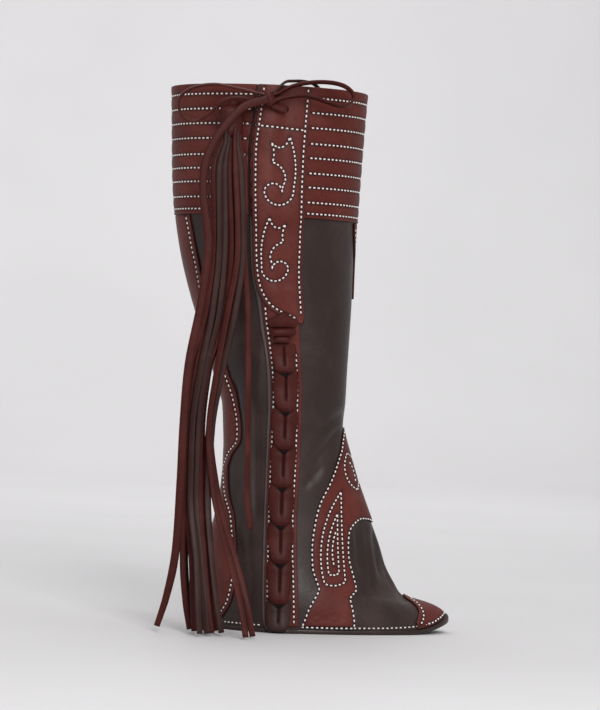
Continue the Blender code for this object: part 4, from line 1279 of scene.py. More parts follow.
@dataclass
class Cuff:
    """The deep cuff with its level rows of stitches."""

    front_rows: tuple[float, ...] = (21.74, 21.39, 21.04, 20.68, 20.36, 20.01, 19.67, 19.30, 19.03)
    back_rows: tuple[float, ...] = (21.76, 21.41, 21.07, 20.73, 20.37, 20.06, 19.73, 19.35, 19.05)
    swell: float = 0.5
    step: float = 2.0

    def pillow(self, height: Array, rows: Sequence[float]) -> Array:
        """The swell of the leather between two rows.

        Args:
            height: Heights of the net.
            rows: Heights of the stitched rows.

        Returns:
            Millimetres outwards.
        """
        stitched = np.array([CUFF_ROW - 0.2, *sorted(rows), RIM_ROW + 0.12])
        place = np.interp(height, stitched, np.arange(len(stitched)))
        return self.swell * (np.abs(np.sin(np.pi * place)) ** 0.6 - 0.4)

    def sew(self) -> None:
        """Lays the rows of stitches of both lengths."""
        self.front_sewing = Sewing("cuff_sewing_front")
        self.back_sewing = Sewing("cuff_sewing_back")
        out = LAY_GAP + CUFF + 0.25
        for row in self.front_rows:
            height = np.full(140, row)
            seam = LEG.border_angle(INNER_SEAM, height[:1], Side.INNER, 3.0)[0]
            strap = LEG.border_angle(((410.0, 8.2), (300.0, 6.6)), height[:1], Side.OUTER)[0]
            self.front_sewing.line(np.linspace(strap, seam, 140), height, out, lapped=True)
            edge = LEG.border_angle(CLOSURE_EDGE, height[:1], Side.OUTER, 1.0)[0]
            self.front_sewing.line(np.linspace(edge, edge + 0.055, 6), height[:6], out, lapped=True)
        for row in self.back_rows:
            height = np.full(140, row)
            seam = LEG.border_angle(INNER_SEAM, height[:1], Side.INNER, -3.0)[0]
            edge = LEG.border_angle(CLOSURE_EDGE, height[:1], Side.OUTER, -2.2)[0]
            self.back_sewing.line(np.linspace(seam, edge + 2 * math.pi, 140), height, out)

    def build(self, red: bpy.types.Material) -> None:
        """Builds the front and the back length.

        Args:
            red: The oxblood leather.
        """
        for front, stitched in ((True, self.front_rows), (False, self.back_rows)):
            height = Outline.heights(CUFF_ROW, RIM_ROW, self.step)
            if front:
                first = LEG.border_angle(CLOSURE_EDGE, height, Side.OUTER, 0.8)
                last = LEG.border_angle(INNER_SEAM, height, Side.INNER, SEAM_GAP / 2)
            else:
                first = LEG.border_angle(INNER_SEAM, height, Side.INNER, -SEAM_GAP / 2)
                last = LEG.border_angle(CLOSURE_EDGE, height, Side.OUTER, -0.8) + 2 * math.pi
            angle, rows = Outline.across(first, last, height, 2.4)
            name = "front" if front else "back"
            Sheet(f"{name}_cuff_leather", angle, rows, LAY_GAP, CUFF, lapped=front,
                  pillow=self.pillow(rows, stitched), dent=0.25).build(red, f"{name}_cuff", RED.slot,
                                                                       [f"{name}_panel_leather"])


@dataclass
class Overlays:
    """The oxblood overlays on heel, front, instep and toe, with their sewing."""

    step: float = 1.7
    inset: float = 2.4
    # The toe cap's row of stitches up to its middle: degrees from the toe, and row.
    toe_seam: tuple[tuple[float, float], ...] = (
        (-36.0, 1.15), (-33.0, 1.44), (-30.0, 1.77), (-27.0, 2.21), (-23.0, 2.78), (-14.0, 3.68),
        (-6.0, 4.08), (0.0, 4.16),
    )
    # Two soft ovals pressed into the instep overlay: x, z, half width, half height.
    ovals: tuple[tuple[float, float, float, float], ...] = ((27.6, 11.4, 3.8, 2.3), (40.6, 11.7, 5.4, 2.5))

    def instep_net(self) -> tuple[Array, Array]:
        """The net of the instep overlay: rows run from one border to the other.

        Returns:
            The net's angles and heights.
        """
        borders = []
        for table in (INSTEP_FRONT, INSTEP_BACK):
            angle, height = LEG.locate(column(table, 0), column(table, 1))
            angle = np.concatenate((angle[:-1], [0.0], -angle[-2::-1]))
            height = np.concatenate((height[:-1], [height[-1]], height[-2::-1]))
            at = np.linspace(0, len(angle) - 1, 180)
            borders.append((smooth(angle, at), smooth(height, at)))
        share = (loops(45.0, self.step) / 45.0)[:, None]
        return tuple(borders[0][k] * (1 - share) + borders[1][k] * share for k in range(2))

    def sew(self) -> None:
        """Lays all the overlays' stitches."""
        out = OVERLAY + LAY_GAP
        self.instep_sewing = Sewing("instep_sewing")
        angle, height = self.instep_net()
        points = LEG.bare(angle, height)
        width = np.linalg.norm(np.diff(points, axis=0), axis=-1).sum(axis=0)
        for near in (self.inset / width, 1 - self.inset / width):
            rows = near * (len(angle) - 1)
            columns = np.arange(angle.shape[1])
            low = np.clip(rows.astype(int), 0, len(angle) - 2)
            share = rows - low
            line = [net[low, columns] * (1 - share) + net[low + 1, columns] * share
                    for net in (angle, height)]
            self.instep_sewing.line(line[0], line[1], out, lapped=True)
        for side in Side:
            self.sew_instep_scrolls(side, out)
        self.heel_sewing = Sewing("heel_sewing")
        for side, turn in ((Side.OUTER, 2 * math.pi), (Side.INNER, 0.0)):
            z = np.linspace(7.0, 311.0, 220)
            border = np.array([(bz, bx) for bz, bx in HEEL_BORDER])
            slope = np.gradient(LEG.border_x(border, z), z)
            x = LEG.border_x(border, z) - self.inset * np.sqrt(1 + slope**2)
            angle, height = LEG.locate(x, z, side)
            self.heel_sewing.line(angle + turn, height, out)
        self.stay_sewing = Sewing("front_stay_sewing")
        for side in Side:
            height = np.linspace(17.5, 18.8, 60)
            angle = LEG.border_angle(FRONT_STAY_BORDER, height, side, 0.8)
            self.stay_sewing.line(angle, height, out)
        self.toe_sewing = Sewing("toe_cap_sewing")
        seam = np.array(self.toe_seam)
        seam = np.concatenate((seam, seam[-2::-1] * (-1.0, 1.0)))
        at = np.linspace(0, len(seam) - 1, 120)
        self.toe_sewing.line(np.radians(smooth(seam[:, 0], at)), smooth(seam[:, 1], at), out)

    def sew_instep_scrolls(self, side: Side, out: float) -> None:
        """Lays two pointed fingers, one within the other, round a vein, and a veined leaf over them.

        Args:
            side: The side of the leg.
            out: How far the leather's face stands over the leg.
        """
        for left, tip, right in (((32.4, 37.5), (43.4, 106.5), (48.5, 39.0)),
                                 ((35.6, 44.5), (41.0, 90.0), (43.4, 45.5))):
            size = right[0] - left[0]
            self.instep_sewing.arcs(((*left, 0.5 * size), (*tip, -0.05 * size), (*right, 0.14 * size),
                                     (*left, 0.0)),
                                    out, side)
        self.instep_sewing.arcs(((39.4, 51.0, 2.0), (40.2, 77.0, 0.0)), out, side)
        self.instep_sewing.arcs(((48.0, 135.5, -6.0), (57.0, 107.5, -5.0), (48.0, 135.5, 0.0)), out, side)
        self.instep_sewing.arcs(((49.6, 129.0, 1.2), (55.4, 113.5, 0.0)), out, side)

    def pressed(self, angle: Array, height: Array) -> Array:
        """How far the two ovals near the hem are pressed in.

        Args:
            angle: Angles of the net.
            height: Its heights.

        Returns:
            Millimetres outwards.
        """
        place = LEG.bare(angle, height)
        depth = np.zeros(angle.shape)
        for x, z, half_x, half_z in self.ovals:
            radius = np.hypot((place[..., 0] - x) / half_x, (place[..., 2] - z) / half_z)
            depth += 0.4 * np.exp(-(((radius - 1) / 0.24) ** 2))
        return -depth

    def build(self, red: bpy.types.Material) -> None:
        """Builds the overlays.

        Args:
            red: The oxblood leather.
        """
        angle, height = self.instep_net()
        over = ["front_panel_leather"]
        Sheet("instep_overlay_leather", angle, height, LAY_GAP, OVERLAY, lapped=True,
              pillow=self.pressed(angle, height)).build(red, "instep_overlay", RED.slot, over)
        height = Outline.heights(OVERLAY_FOOT, CUFF_ROW - 0.015, self.step)
        side = LEG.border_angle(HEEL_BORDER, height, Side.INNER)
        angle, rows = Outline.across(side, 2 * math.pi - side, height, self.step)
        Sheet("heel_overlay_leather", angle, rows, LAY_GAP, OVERLAY).build(red, "heel_overlay", RED.slot,
                                                                          ["back_panel_leather"])
        height = Outline.heights(FRONT_STAY_FOOT, CUFF_ROW - 0.015, self.step)
        side = LEG.border_angle(FRONT_STAY_BORDER, height, Side.INNER)
        angle, rows = Outline.across(-side, side, height, self.step)
        Sheet("front_stay_leather", angle, rows, LAY_GAP, OVERLAY,
              lapped=True).build(red, "front_stay", RED.slot, over)
        at = np.linspace(0, len(TOE_CAP) - 1, 61)
        angle = np.radians(smooth(column(TOE_CAP, 0), at))
        top = smooth(column(TOE_CAP, 1), at)
        share = (loops(30.0, self.step) / 30.0)[:, None]
        height = (binding_top(angle) + OVERLAY_FOOT - BINDING_TOP) * (1 - share) + top * share
        Sheet("toe_cap_leather", np.broadcast_to(angle, height.shape), height, LAY_GAP,
              OVERLAY).build(red, "toe_cap", RED.slot, over)


@dataclass
class Closure:
    """The pull strap, the strip under the chain, and the chain of loops."""

    step: float = 1.6
    inset: float = 2.5
    strap_hole: tuple[float, float, float] = (-11.8, 391.8, 2.4)

    def sew(self) -> None:
        """Lays the strap's and the strip's stitches."""
        self.strap_sewing = Sewing("pull_strap_sewing")
        table = np.array(PULL_STRAP)
        at = np.linspace(0.1, len(table) - 1.3, 160)
        z, left, right, lift = (smooth(table[:, index], at) for index in range(4))
        run = np.stack((np.gradient(left), np.gradient(z)), axis=-1)
        run /= np.linalg.norm(run, axis=1, keepdims=True)
        x, z = left - run[:, 1] * self.inset, z + run[:, 0] * self.inset
        keep = x < right - self.inset
        angle, height = LEG.locate(x[keep], z[keep])
        self.strap_sewing.line(angle, height, (lift + OVERLAY)[keep], lapped=True)
        z = np.linspace(408.5, 239.5, 110)
        right = np.interp(-z, -table[:, 0], table[:, 2])
        angle, height = LEG.locate(right - self.inset, z)
        self.strap_sewing.line(angle, height, self.strap_face(z), lapped=True)
        bar = arc((-30.0, 378.9), (2.7, 377.0), 0.0)
        self.strap_sewing.line(*LEG.locate(bar[:, 0], bar[:, 1]), self.strap_face(bar[:, 1]), lapped=True)
        for mirrored, top, size in ((False, 371.0, 1.0), (True, 310.5, 0.92)):
            self.strap_sewing.arcs(self.scroll(mirrored, top, size), self.strap_face)
        self.strip_sewing = Sewing("lace_strip_sewing")
        table = np.array(LACE_STRIP)
        z = np.linspace(245.0, 7.0, 160)
        for side, inset, top in ((1, 2.1, 245.0), (2, -3.6, 212.0)):
            x = np.interp(-z, -table[:, 0], table[:, side]) + inset
            keep = z <= top
            angle, height = LEG.locate(x[keep], z[keep])
            self.strip_sewing.line(angle, height, LAY_GAP + OVERLAY, lapped=True)

    @staticmethod
    def strap_face(z: Array) -> Array:
        """How far the strap's face stands over the leg."""
        rows = np.interp(-np.asarray(z, float), -np.array(column(PULL_STRAP, 0)), np.arange(len(PULL_STRAP)))
        return smooth(column(PULL_STRAP, 3), rows) + OVERLAY

    @staticmethod
    def scroll(mirrored: bool, top: float, size: float) -> list[tuple[float, float, float]]:
        """A traditional scroll made of arcs: a forked tip over a stem that curls back on itself.

        Args:
            mirrored: Whether it curls to the other side.
            top: z of its tip.
            size: Its scale.

        Returns:
            (x, z, bulge) of the ends of its arcs.
        """
        middle, turn = -14.4, -1.0 if mirrored else 1.0
        ends = ((-7.0, -4.5, -0.8), (0.2, -8.0, -1.4), (6.4, 0.5, 2.8), (10.6, -38.0, 11.6),
                (-10.6, -40.0, 6.2), (2.6, -41.5, 0.9), (4.4, -33.0, -3.4), (-5.6, -19.0, -1.6),
                (-7.0, -4.5, 0.0))
        return [(middle + turn * x * size, top + z * size, turn * bulge * size) for x, z, bulge in ends]

    def loop_piece(self, number: int, finish: bpy.types.Material) -> None:
        """Builds one loop of the chain: two lobes beside a groove, whose lower end lies over the next head.

        Args:
            number: The loop's number, from the top.
            finish: Its leather.
        """
        top_z, low_z, top_x, low_x = LINKS[number - 1]
        down = np.linspace(0, 1, 45)
        across = np.array([-1.0, -0.98, -0.93, -0.85, -0.72, -0.56, -0.4, -0.28, -0.18, -0.1, -0.04, 0.0,
                           0.04, 0.1, 0.18, 0.28, 0.4, 0.56, 0.72, 0.85, 0.93, 0.98, 1.0])
        half = np.interp(down, column(LINK_OUTLINE, 0), column(LINK_OUTLINE, 1))
        half = half - 0.25 + 0.25 * np.sin(down * 7.0 + number * 1.9)
        z = top_z + (low_z - top_z) * down[:, None] + (0.5 * ease((down - 0.8) / 0.2))[:, None] * across**2
        x = (top_x + (low_x - top_x) * down)[:, None] + half[:, None] * across
        under = OVERLAY + LAY_GAP + 0.4
        lift = under + 2.7 * ease((down - 0.35) / 0.5) - 0.9 * ease((down - 0.9) / 0.1)
        lift = lift[:, None] + np.zeros(x.shape)
        lobes = 1.95 - 0.85 * np.abs(across) ** 5 - 0.18 * (np.abs(across) < 0.3) * (1 - np.abs(across) / 0.3)
        ends = ease((down - 0.06) / 0.06) * ease((0.8 - down) / 0.14)
        groove = np.exp(-((across / 0.075) ** 2)) * ends[:, None]
        start = 3.9 / (top_z - low_z) if number > 1 else 0.02
        far = np.hypot((x - x[:, 11:12]) / 3.4, (down[:, None] - start - 0.02) * (top_z - low_z) / 2.1)
        hole = np.exp(-(far**2)) * (1.0 if number > 1 else 0.25)
        lip = ease((down - 0.9) / 0.1)[:, None]
        pulled = 0.55 * np.sin(down * 5.2 + number)[:, None] * across * 0.5
        face = lift + lobes + pulled - 1.3 * groove - 1.4 * hole - 0.7 * lip * (1 - 0.35 * across**2)
        angle, height = LEG.locate(x, z)
        back = LEG.on(angle, height, lift, True)
        front = LEG.on(angle, height, np.maximum(face, lift + 0.35), True)
        # Painted shade in the groove, in the eye and under the lower lip.
        seam = np.clip(0.9 * groove + 1.2 * hole + 0.12 * lip, 0, 1)
        rim = np.broadcast_to(np.clip((np.abs(across) - 0.9) * 8, 0, 1), x.shape)
        mesh = two_sheets(f"lace_loop_{number}_leather", back[::-1], front[::-1], rim[::-1], seam[::-1])
        obj = add_piece(mesh.name, mesh, [finish], [f"lace_loop_{number}"])

    def build(self, red: bpy.types.Material, thong: bpy.types.Material, dark: bpy.types.Material,
              hole: bpy.types.Material) -> None:
        """Builds the straps and the chain.

        Args:
            red: The oxblood leather.
            thong: The oxblood thong.
            dark: The dark thong, for the last loop.
            hole: The finish of the painted shade.
        """
        for name, table, finish, under in (("pull_strap", PULL_STRAP, red, "front_cuff_leather"),
                                           ("lace_strip", LACE_STRIP, red, "front_panel_leather"),
                                           ("lace_tongue", LACE_TONGUE, thong, "pull_strap_leather")):
            angle, height, lift = Outline.strap(table, self.step)
            sheet = Sheet(f"{name}_leather", angle, height, lift, OVERLAY, lapped=True)
            sheet.build(finish, name, RED.slot, [under])
        for number in range(1, len(LINKS) + 1):
            self.loop_piece(number, dark if number == len(LINKS) else thong)
        self.roll(thong)
        self.hole_shade_discs(hole)

    def roll(self, thong: bpy.types.Material) -> None:
        """Builds the rolled end of thong at the head of the chain: a wide fold over a narrow one.

        Args:
            thong: The oxblood thong.
        """
        turns, steps = 20, 21
        parts = []
        for left, right, left_z, right_z, high, deep, out in ((-15.4, 2.4, 226.2, 226.7, 3.0, 3.3, 5.6),
                                                             (-12.4, -1.2, 220.9, 221.2, 2.7, 2.9, 5.2)):
            share = np.linspace(0, 1, steps)[:, None]
            blunt = np.sqrt(np.clip(1 - np.abs(2 * share - 1) ** 5 * 0.72, 0.05, 1))
            a = np.linspace(0, 2 * math.pi, turns + 1)[:-1]
            x = left + (right - left) * share + 0.0 * a
            z = left_z + (right_z - left_z) * share + high * blunt * np.sin(a)
            angle, height = LEG.locate(x, z)
            parts.append((tube("fold", LEG.on(angle, height, deep * blunt * np.cos(a) + out, True)), 0))
        obj = add_piece("lace_roll_leather", joined("lace_roll_leather", parts), [thong], ["lace_roll"])

    def hole_shade_discs(self, hole: bpy.types.Material) -> None:
        """Builds discs of painted shade: in the mouth of the strap's hole and in the eyes under the loops'
        lower ends.

        Args:
            hole: The finish of the painted shade.
        """
        net = bmesh.new()
        # Painted shade in the mouth of the strap's hole.
        spots = [(self.strap_hole[0], self.strap_hole[1], self.strap_hole[2], self.strap_hole[2],
                  float(self.strap_face(self.strap_hole[1])) + 0.04)]
        # Painted shadow in the eye under each loop's lower end.
        spots += [(link[3], link[1] - 0.7, 2.4, 1.1, 4.05) for link in LINKS[:-1]]
        for x, z, half_x, half_z, out in spots:
            turn = np.linspace(0, 2 * math.pi, 21)[:-1]
            angle, height = LEG.locate(x + half_x * np.cos(turn), z + half_z * np.sin(turn))
            net.faces.new([net.verts.new(point) for point in LEG.on(angle, height, out, True)])
        add_piece("hole_shade_discs", finished(net, "hole_shade_discs"), [hole], [])


# ---------------------------------------------------------------- thongs: bow and fringe


@dataclass(frozen=True)
class Thong:
    """A flat thong with soft edges, along a path."""

    width: float = 6.0
    thick: float = 2.0

    def rings(self, path: Array, way: Array, widths: Array | None = None,
              thicks: Array | None = None) -> Array:
        """The sections along the path.

        Args:
            path: Points of the middle line.
            way: The way its width points, at each point.
            widths: Widths along it, or none for the thong's own.
            thicks: Thicknesses along it.

        Returns:
            Rings of points.
        """
        along = np.gradient(path, axis=0)
        along /= np.linalg.norm(along, axis=1, keepdims=True)
        across = way - along * np.sum(along * way, axis=1, keepdims=True)
        across /= np.linalg.norm(across, axis=1, keepdims=True)
        facing = np.cross(along, across)
        half = (np.full(len(path), self.width) if widths is None else widths) / 2
        deep = (np.full(len(path), self.thick) if thicks is None else thicks) / 2
        section = ((-1.0, -0.35), (-0.86, -0.85), (-0.4, -1.0), (0.4, -1.0), (0.86, -0.85), (1.0, -0.35),
                   (1.0, 0.35), (0.86, 0.85), (0.4, 1.0), (-0.4, 1.0), (-0.86, 0.85), (-1.0, 0.35))
        return np.stack([path + across * (half * a)[:, None] + facing * (deep * b)[:, None] for a,
                         b in section],
                        axis=1)


@dataclass
class Bow:
    """The bow over the strap: two loops, a wrapped knot, the end through the hole and the long tail."""

    left: tuple[tuple[float, float, float], ...] = (
        (-27.6, -66.0, 401.2), (-34.0, -66.3, 402.6), (-46.0, -66.5, 404.8), (-64.0, -64.0, 407.6),
        (-79.5, -60.0, 405.4), (-89.5, -56.5, 399.2), (-91.4, -55.0, 390.8), (-87.6, -55.5, 382.6),
        (-78.8, -57.5, 380.2), (-68.2, -60.5, 386.4), (-59.0, -63.0, 395.6), (-48.5, -65.0, 398.4),
        (-35.0, -66.4, 397.0), (-27.6, -66.2, 396.2),
    )
    right: tuple[tuple[float, float, float], ...] = (
        (-22.0, -66.0, 401.0), (-17.0, -66.0, 403.4), (-8.0, -65.5, 408.6), (6.0, -63.5, 412.2),
        (20.0, -60.5, 413.2), (31.0, -57.5, 411.6), (38.0, -55.0, 407.2), (39.4, -54.5, 402.0),
        (36.0, -56.0, 397.8), (29.0, -58.5, 396.2), (20.0, -61.0, 398.2), (4.0, -64.0, 402.0),
        (-8.0, -66.0, 400.8), (-17.0, -66.6, 398.4), (-22.0, -66.4, 396.4),
    )
    hole_end: tuple[tuple[float, float, float], ...] = (
        (-22.6, -65.0, 394.6), (-15.4, -63.6, 392.2), (-11.2, -62.3, 391.6),
    )
    tail: tuple[tuple[float, float, float], ...] = (
        (-25.4, -71.6, 397.8), (-40.4, -73.0, 393.0), (-48.9, -74.6, 386.6), (-57.0, -75.6, 376.6),
        (-63.4, -76.0, 367.6), (-69.2, -76.0, 355.0), (-71.8, -76.0, 342.0), (-71.6, -76.0, 324.0),
        (-67.6, -76.0, 300.0), (-66.4, -76.0, 284.0), (-70.2, -76.0, 244.0), (-77.4, -76.0, 200.0),
        (-79.6, -75.6, 156.0), (-80.2, -75.0, 110.0), (-81.8, -74.0, 60.0), (-87.0, -72.5, 28.0),
        (-93.4, -71.0, 4.6),
    )
    rim_strand: tuple[tuple[float, float, float], ...] = (
        (-22.0, -65.8, 402.0), (-16.6, -66.0, 408.4), (-12.6, -64.4, 411.8), (-8.0, -61.0, 412.9),
        (1.0, -54.0, 413.8), (8.5, -47.6, 413.0), (13.6, -42.2, 410.6), (16.4, -40.8, 407.0),
        (18.0, -40.4, 401.0),
    )
    knot: tuple[float, float, float] = (-24.8, -66.0, 398.4)
    thong: Thong = Thong()

    def strip(self, points: Sequence[Sequence[float]], steps: int, way: Any) -> Array:
        """The sections of one strip of the bow."""
        path = soft_curve(np.array(points), np.linspace(0, len(points) - 1, steps))
        return self.thong.rings(path, np.broadcast_to(np.array(way, float), path.shape))

    def build(self, thong: bpy.types.Material, dark: bpy.types.Material) -> None:
        """Builds the bow and its tail.

        Args:
            thong: The oxblood thong.
            dark: The dark thong, for the strand over the rim.
        """
        strips = [(self.strip(self.left, 90, (0, 1, 0.25)), 0), (self.strip(self.right, 90, (0, 1, -0.25)),
                                                                 0),
                  (self.strip(self.hole_end, 20, (0, 0.3, 1.0)), 0),
                  (self.strip(self.rim_strand, 60, (0, 1, 0)), 1)]
        strips += [(wrap, 0) for wrap in self.wraps()]
        mesh = joined("bow_leather", [(tube("strip", rings), number) for rings, number in strips])
        add_piece("bow_leather", mesh, [thong, dark], ["bow"])
        path = soft_curve(np.array(self.tail), np.linspace(0, len(self.tail) - 1, 120))
        way = np.cross(np.gradient(path, axis=0), (0.0, 1.0, 0.12))
        taper = np.interp(np.linspace(0, 1, 120), (0, 0.9, 1.0), (1.0, 1.0, 0.72))
        rings = self.thong.rings(path, way, self.thong.width * taper)
        obj = add_piece("bow_tail_leather", tube("bow_tail_leather", rings), [thong], ["bow_tail"])
        self.thong.width * MM

    def wraps(self) -> list[Array]:
        """The knot: a soft core with two turns of thong round it.

        Returns:
            The sections of each turn.
        """
        x, y, z = self.knot
        turns = []
        for tilt, size, shift in ((0.35, 1.0, 0.0), (-0.25, 0.86, 1.2)):
            ring = []
            for a in np.linspace(0, 2 * math.pi, 33)[:-1]:
                side, deep = math.cos(a), math.sin(a)
                ring.append((x + 3.4 * size * side * math.cos(tilt), y + 3.2 * size * deep,
                             z - shift + 5.4 * size * side * math.sin(tilt)))
            path = np.array([*ring, ring[0], ring[1]])
            way = np.broadcast_to(np.array([math.sin(tilt), 0.0, -math.cos(tilt)]) * -1.0, path.shape)
            turns.append(self.thong.rings(path, way, np.full(len(path), 9.6 * size), np.full(len(path), 2.0)))
        return turns


class FringePath(NamedTuple):
    """x of a strand at FRINGE_Z, and where it ends."""

    xs: tuple[float, ...]
    end_x: float
    end_z: float


FRINGE_Z = (366.0, 344.0, 285.0, 240.0, 195.0, 151.0, 106.0, 54.0, 24.0)
PATHS: dict[str, FringePath] = {
    "heel": FringePath((-58.3, -64.2, -62.2, -65.7, -76.0, -78.0, -77.3, -76.1, -73.1), -69.0, 3.0),
    "left": FringePath((-56.1, -60.1, -57.8, -60.9, -68.1, -72.7, -72.5, -66.7, -64.8), -63.0, 2.4),
    "middle": FringePath((-53.8, -56.0, -53.3, -55.7, -64.0, -67.9, -68.0, -63.4, -60.0), -57.5, 2.0),
    "thin": FringePath((-51.6, -51.9, -48.5, -50.5, -63.0, -66.4, -64.7, -60.4, -57.1), -53.8, 2.2),
    "right": FringePath((-49.4, -47.8, -44.0, -49.7, -56.2, -60.4, -55.4, -41.8, -34.2), -30.0, 1.6),
    "inside": FringePath((-47.1, -44.0, -40.6, -45.2, -53.6, -59.7, -61.0, -56.7, -52.6), -48.5, 2.6),
    "short": FringePath((-45.3, -41.0, -38.8, -34.4, -32.3, -31.0, -30.0, -27.0, -26.5), -26.5, 78.0),
}


class Strand(NamedTuple):
    """One strand: its path, its layer from the front, how it slides aside, and its colour."""

    path: str
    layer: int
    shift: float
    end_shift: float
    end_out: float
    red: bool


STRANDS: tuple[Strand, ...] = (
    Strand("left", 0, 0.0, 0.0, 30.0, False), Strand("right", 0, 0.0, 0.0, 40.0, True),
    Strand("heel", 1, 0.0, 0.0, 4.0, True), Strand("middle", 1, 0.0, 0.0, 26.0, False),
    Strand("inside", 1, 1.0, 2.0, 22.0, False),
    Strand("thin", 2, 0.0, 0.0, 24.0, True), Strand("short", 2, 0.0, 0.0, 0.0, True),
    Strand("left", 2, -2.6, -3.0, 14.0, True),
    Strand("middle", 3, -3.0, 1.0, 16.0, False), Strand("right", 3, 0.6, 5.6, 38.0, True),
    Strand("left", 4, 1.6, 4.0, 10.0, False), Strand("inside", 4, 0.0, -1.0, 12.0, True),
    Strand("heel", 5, 1.4, 2.6, 2.0, False), Strand("thin", 5, 1.6, 2.4, 8.0, False),
    Strand("middle", 6, 1.0, -2.0, 4.0, True), Strand("inside", 6, 2.4, 3.0, 4.0, False),
)


@dataclass
class Tassel:
    """The fringe: a wrapped head with strands that hang to the floor."""

    width: float = 4.4
    thick: float = 1.4
    root: float = 2.4
    front_y: float = -70.5
    layer_pitch: float = 2.3
    head: tuple[float, float, float] = (-52.4, -62.4, 380.6)
    steps: int = 90

    def strand(self, strand: Strand, number: int) -> Array:
        """The sections of one strand, which turns a little on its way down.

        Args:
            strand: The strand.
            number: Its number, which sets how it turns.

        Returns:
            Its sections.
        """
        path = PATHS[strand.path]
        z = np.array(FRINGE_Z)
        keep = z > path.end_z + 8.0
        x = np.concatenate(([path.xs[0]], np.array(path.xs)[keep], [path.end_x]))
        z = np.concatenate(([self.head[2] - 5.0], z[keep], [path.end_z]))
        down = (z[0] - z) / (z[0] - z[-1])
        x = x + strand.shift * ease(down / 0.25)
        x = x + (strand.end_shift - strand.shift) * ease((down - 0.4) / 0.6)
        y = self.front_y + self.layer_pitch * strand.layer - strand.end_out * ease((down - 0.7) / 0.3)
        at = np.linspace(0, len(x) - 1, self.steps)
        line = np.stack([smooth(x, at), smooth(y, at), smooth(z, at)], axis=-1)
        fallen = line[0, 2] - line[:, 2]
        widths = self.root + (self.width - self.root) * ease(fallen / 34.0)
        turn = 0.30 * np.sin(fallen / (46.0 + 5 * (number % 4)) + number * 1.7) * ease(fallen / 80.0)
        way = np.stack([np.cos(turn), np.sin(turn), np.zeros(self.steps)], axis=-1)
        return Thong(self.width, self.thick).rings(line, way, widths)

    def build(self, red: bpy.types.Material, dark: bpy.types.Material) -> None:
        """Builds the head and the strands.

        Args:
            red: The oxblood thong.
            dark: The dark thong.
        """
        parts = [(tube("strand", self.strand(strand, number)), 0 if strand.red else 1)
                 for number, strand in enumerate(STRANDS)]
        parts += [(part, 0) for part in self.head_parts()]
        add_piece("fringe_tassel", joined("fringe_tassel", parts), [red, dark], ["tassel"])

    def head_parts(self) -> list[bpy.types.Mesh]:
        """The wrapped head: a strap rolled round the roots, over a neck of thong.

        Returns:
            The head's and the neck's meshes.
        """
        x, y, z = self.head
        turns, rows = 28, 15
        rings = []
        for k in range(rows):
            share = k / (rows - 1)
            high = z - 11.6 + 23.2 * share
            blunt = 1 - 0.35 * ease(abs(2 * share - 1) * 4.5 - 3.5)
            ring = []
            for turn in range(turns):
                a = 2 * math.pi * turn / turns
                soft = (abs(math.cos(a)) ** 2.6 + abs(math.sin(a)) ** 2.6) ** (-1 / 2.6)
                fold = 0.35 * math.sin(3 * a + share * 4)
                ring.append((x + (8.6 * blunt + fold) * soft * math.cos(a) + (1 - share) * 0.6,
                             y + (7.6 * blunt + fold) * soft * math.sin(a), high))
            rings.append(ring)
        neck = soft_curve(np.array([(-52.2, -63.0, 387.0), (-51.6, -63.8, 391.4), (-50.6, -64.6, 395.4)]),
                          np.linspace(0, 2, 12))
        way = np.broadcast_to(np.array([1.0, 0.0, 0.0]), neck.shape)
        return [tube("head", np.array(rings)), tube("neck", Thong().rings(neck, way))]


# ---------------------------------------------------------------- camera and light


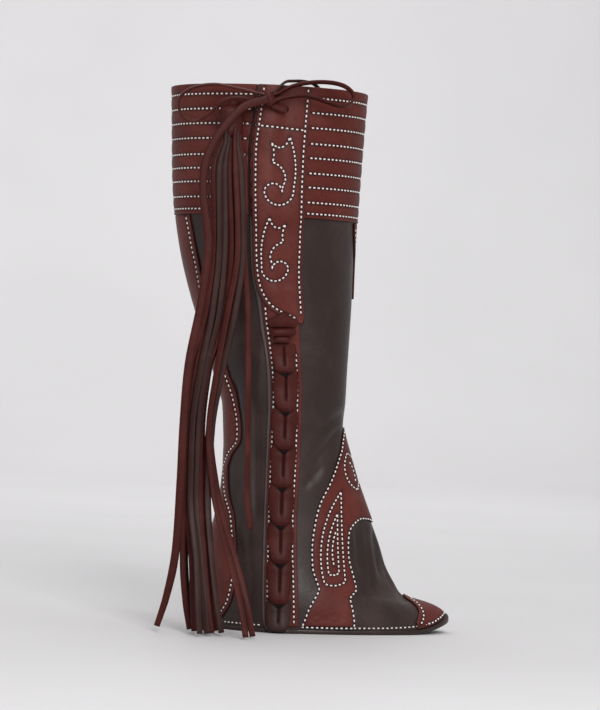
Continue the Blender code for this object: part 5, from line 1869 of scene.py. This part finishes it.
@dataclass(frozen=True)
class Studio:
    """The photograph's viewpoint, a pale floor and soft light."""

    focal_px: float = 3042.0
    frame_px: float = 710.0
    distance: float = 2330.0
    yaw: float = math.radians(5.0)
    roll: float = 0.0384
    height: float = 205.3
    aside: float = 11.5
    # In metres: where the floor starts to rise, the radius of the rise, and half the floor's width.
    floor_end: float = 2.7
    sweep: float = 0.9
    floor_half: float = 4.0

    def camera(self) -> None:
        """Places the camera."""
        forward = Vector((math.sin(self.yaw), math.cos(self.yaw), 0.0))
        right = Vector((math.cos(self.yaw), -math.sin(self.yaw), 0.0))
        up = Vector((0.0, 0.0, 1.0))
        place = forward * -self.distance + right * self.aside + up * self.height
        camera = bpy.data.objects.new("camera", bpy.data.cameras.new("camera"))
        camera.data.sensor_width = 36.0
        camera.data.lens = 36.0 * self.focal_px / self.frame_px
        camera.data.shift_y = 5.0 / self.frame_px
        tilted_right = right * math.cos(self.roll) + up * math.sin(self.roll)
        tilted_up = up * math.cos(self.roll) - right * math.sin(self.roll)
        turn = Matrix((tilted_right, tilted_up, -forward)).transposed().to_4x4()
        camera.matrix_world = Matrix.Translation(TO_WORLD @ place) @ turn
        camera.data.clip_end = 50.0
        bpy.context.scene.collection.objects.link(camera)
        bpy.context.scene.camera = camera

    def light(self, name: str, place: tuple[float, float, float], size: tuple[float, float], power: float,
              target: tuple[float, float, float] = (0.0, 0.0, 0.2)) -> None:
        """Adds a soft rectangular light that looks at a target.

        Args:
            name: The light's name.
            place: Where it is, in metres.
            size: Its sides.
            power: Its watts.
            target: What it looks at.
        """
        data = bpy.data.lights.new(name, "AREA")
        data.shape = "RECTANGLE"
        data.size, data.size_y = size
        data.energy = power
        obj = bpy.data.objects.new(name, data)
        obj.location = place
        obj.rotation_euler = (Vector(target) - Vector(place)).to_track_quat("-Z", "Y").to_euler()
        bpy.context.scene.collection.objects.link(obj)

    def floor(self) -> None:
        """Builds a floor that sweeps up into the backdrop."""
        net = bmesh.new()
        end, round_by, half = self.floor_end, self.sweep, self.floor_half
        profile = [(-half, 0.0), (0.2, 0.0), (end, 0.0)]
        profile += [(end + round_by * math.sin(a), round_by - round_by * math.cos(a))
                    for a in np.linspace(0.1, math.pi / 2, 16)]
        profile += [(end + round_by, 1.6), (end + round_by, 3.2)]
        rows = [[net.verts.new((x, y, z)) for x in (-half, half)] for y, z in profile]
        for low, high in zip(rows, rows[1:]):
            net.faces.new((low[0], low[1], high[1], high[0]))
        mesh = finished(net, "floor")
        mesh.materials.append(FLOOR.make())
        mesh.shade_smooth()
        obj = bpy.data.objects.new("floor", mesh)
        bpy.context.scene.collection.objects.link(obj)

    def build(self) -> None:
        """Places camera, lights, floor and the room's even light."""
        self.camera()
        self.floor()
        self.light("key", (0.25, -1.9, 1.25), (0.55, 1.3), 30.0)
        self.light("left", (-1.8, -0.6, 1.0), (0.5, 1.4), 2.5)
        self.light("top", (0.0, 0.5, 2.2), (1.8, 1.8), 18.0)
        self.light("backdrop", (0.0, 1.9, 2.2), (2.6, 0.6), 34.0, (0.0, 3.5, 0.7))
        world = bpy.data.worlds.new("room")
        world.use_nodes = True
        world.node_tree.nodes["Background"].inputs["Color"].default_value = (0.90, 0.90, 0.90, 1.0)
        world.node_tree.nodes["Background"].inputs["Strength"].default_value = 0.52
        bpy.context.scene.world = world
        bpy.context.scene.view_settings.view_transform = "Standard"


def main() -> None:
    """Builds the gaiter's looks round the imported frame."""
    logging.basicConfig(level=logging.INFO, format="%(name)s: %(message)s")
    for obj in list(bpy.data.objects):
        bpy.data.objects.remove(obj, do_unlink=True)
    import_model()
    Studio().build()
    dark, red, thong, dark_thong = (finish.make() for finish in (DARK, RED, THONG, DARK_THONG))
    thread, hole = THREAD.make(), HOLE_SHADE.make()
    body, cuff, overlays, closure = Body(), Cuff(), Overlays(), Closure()
    for part in (body, cuff, overlays, closure):
        part.sew()
    body.build(dark)
    cuff.build(red)
    overlays.build(red)
    closure.build(red, thong, dark_thong, hole)
    Bow().build(thong, dark_thong)
    Tassel().build(thong, dark_thong)
    for sewing in (body.front_sewing, body.back_sewing, cuff.front_sewing, cuff.back_sewing,
                   overlays.instep_sewing, overlays.heel_sewing, overlays.stay_sewing, overlays.toe_sewing,
                   closure.strap_sewing, closure.strip_sewing):
        sewing.build(thread, hole)


if __name__ == "__main__":
    main()
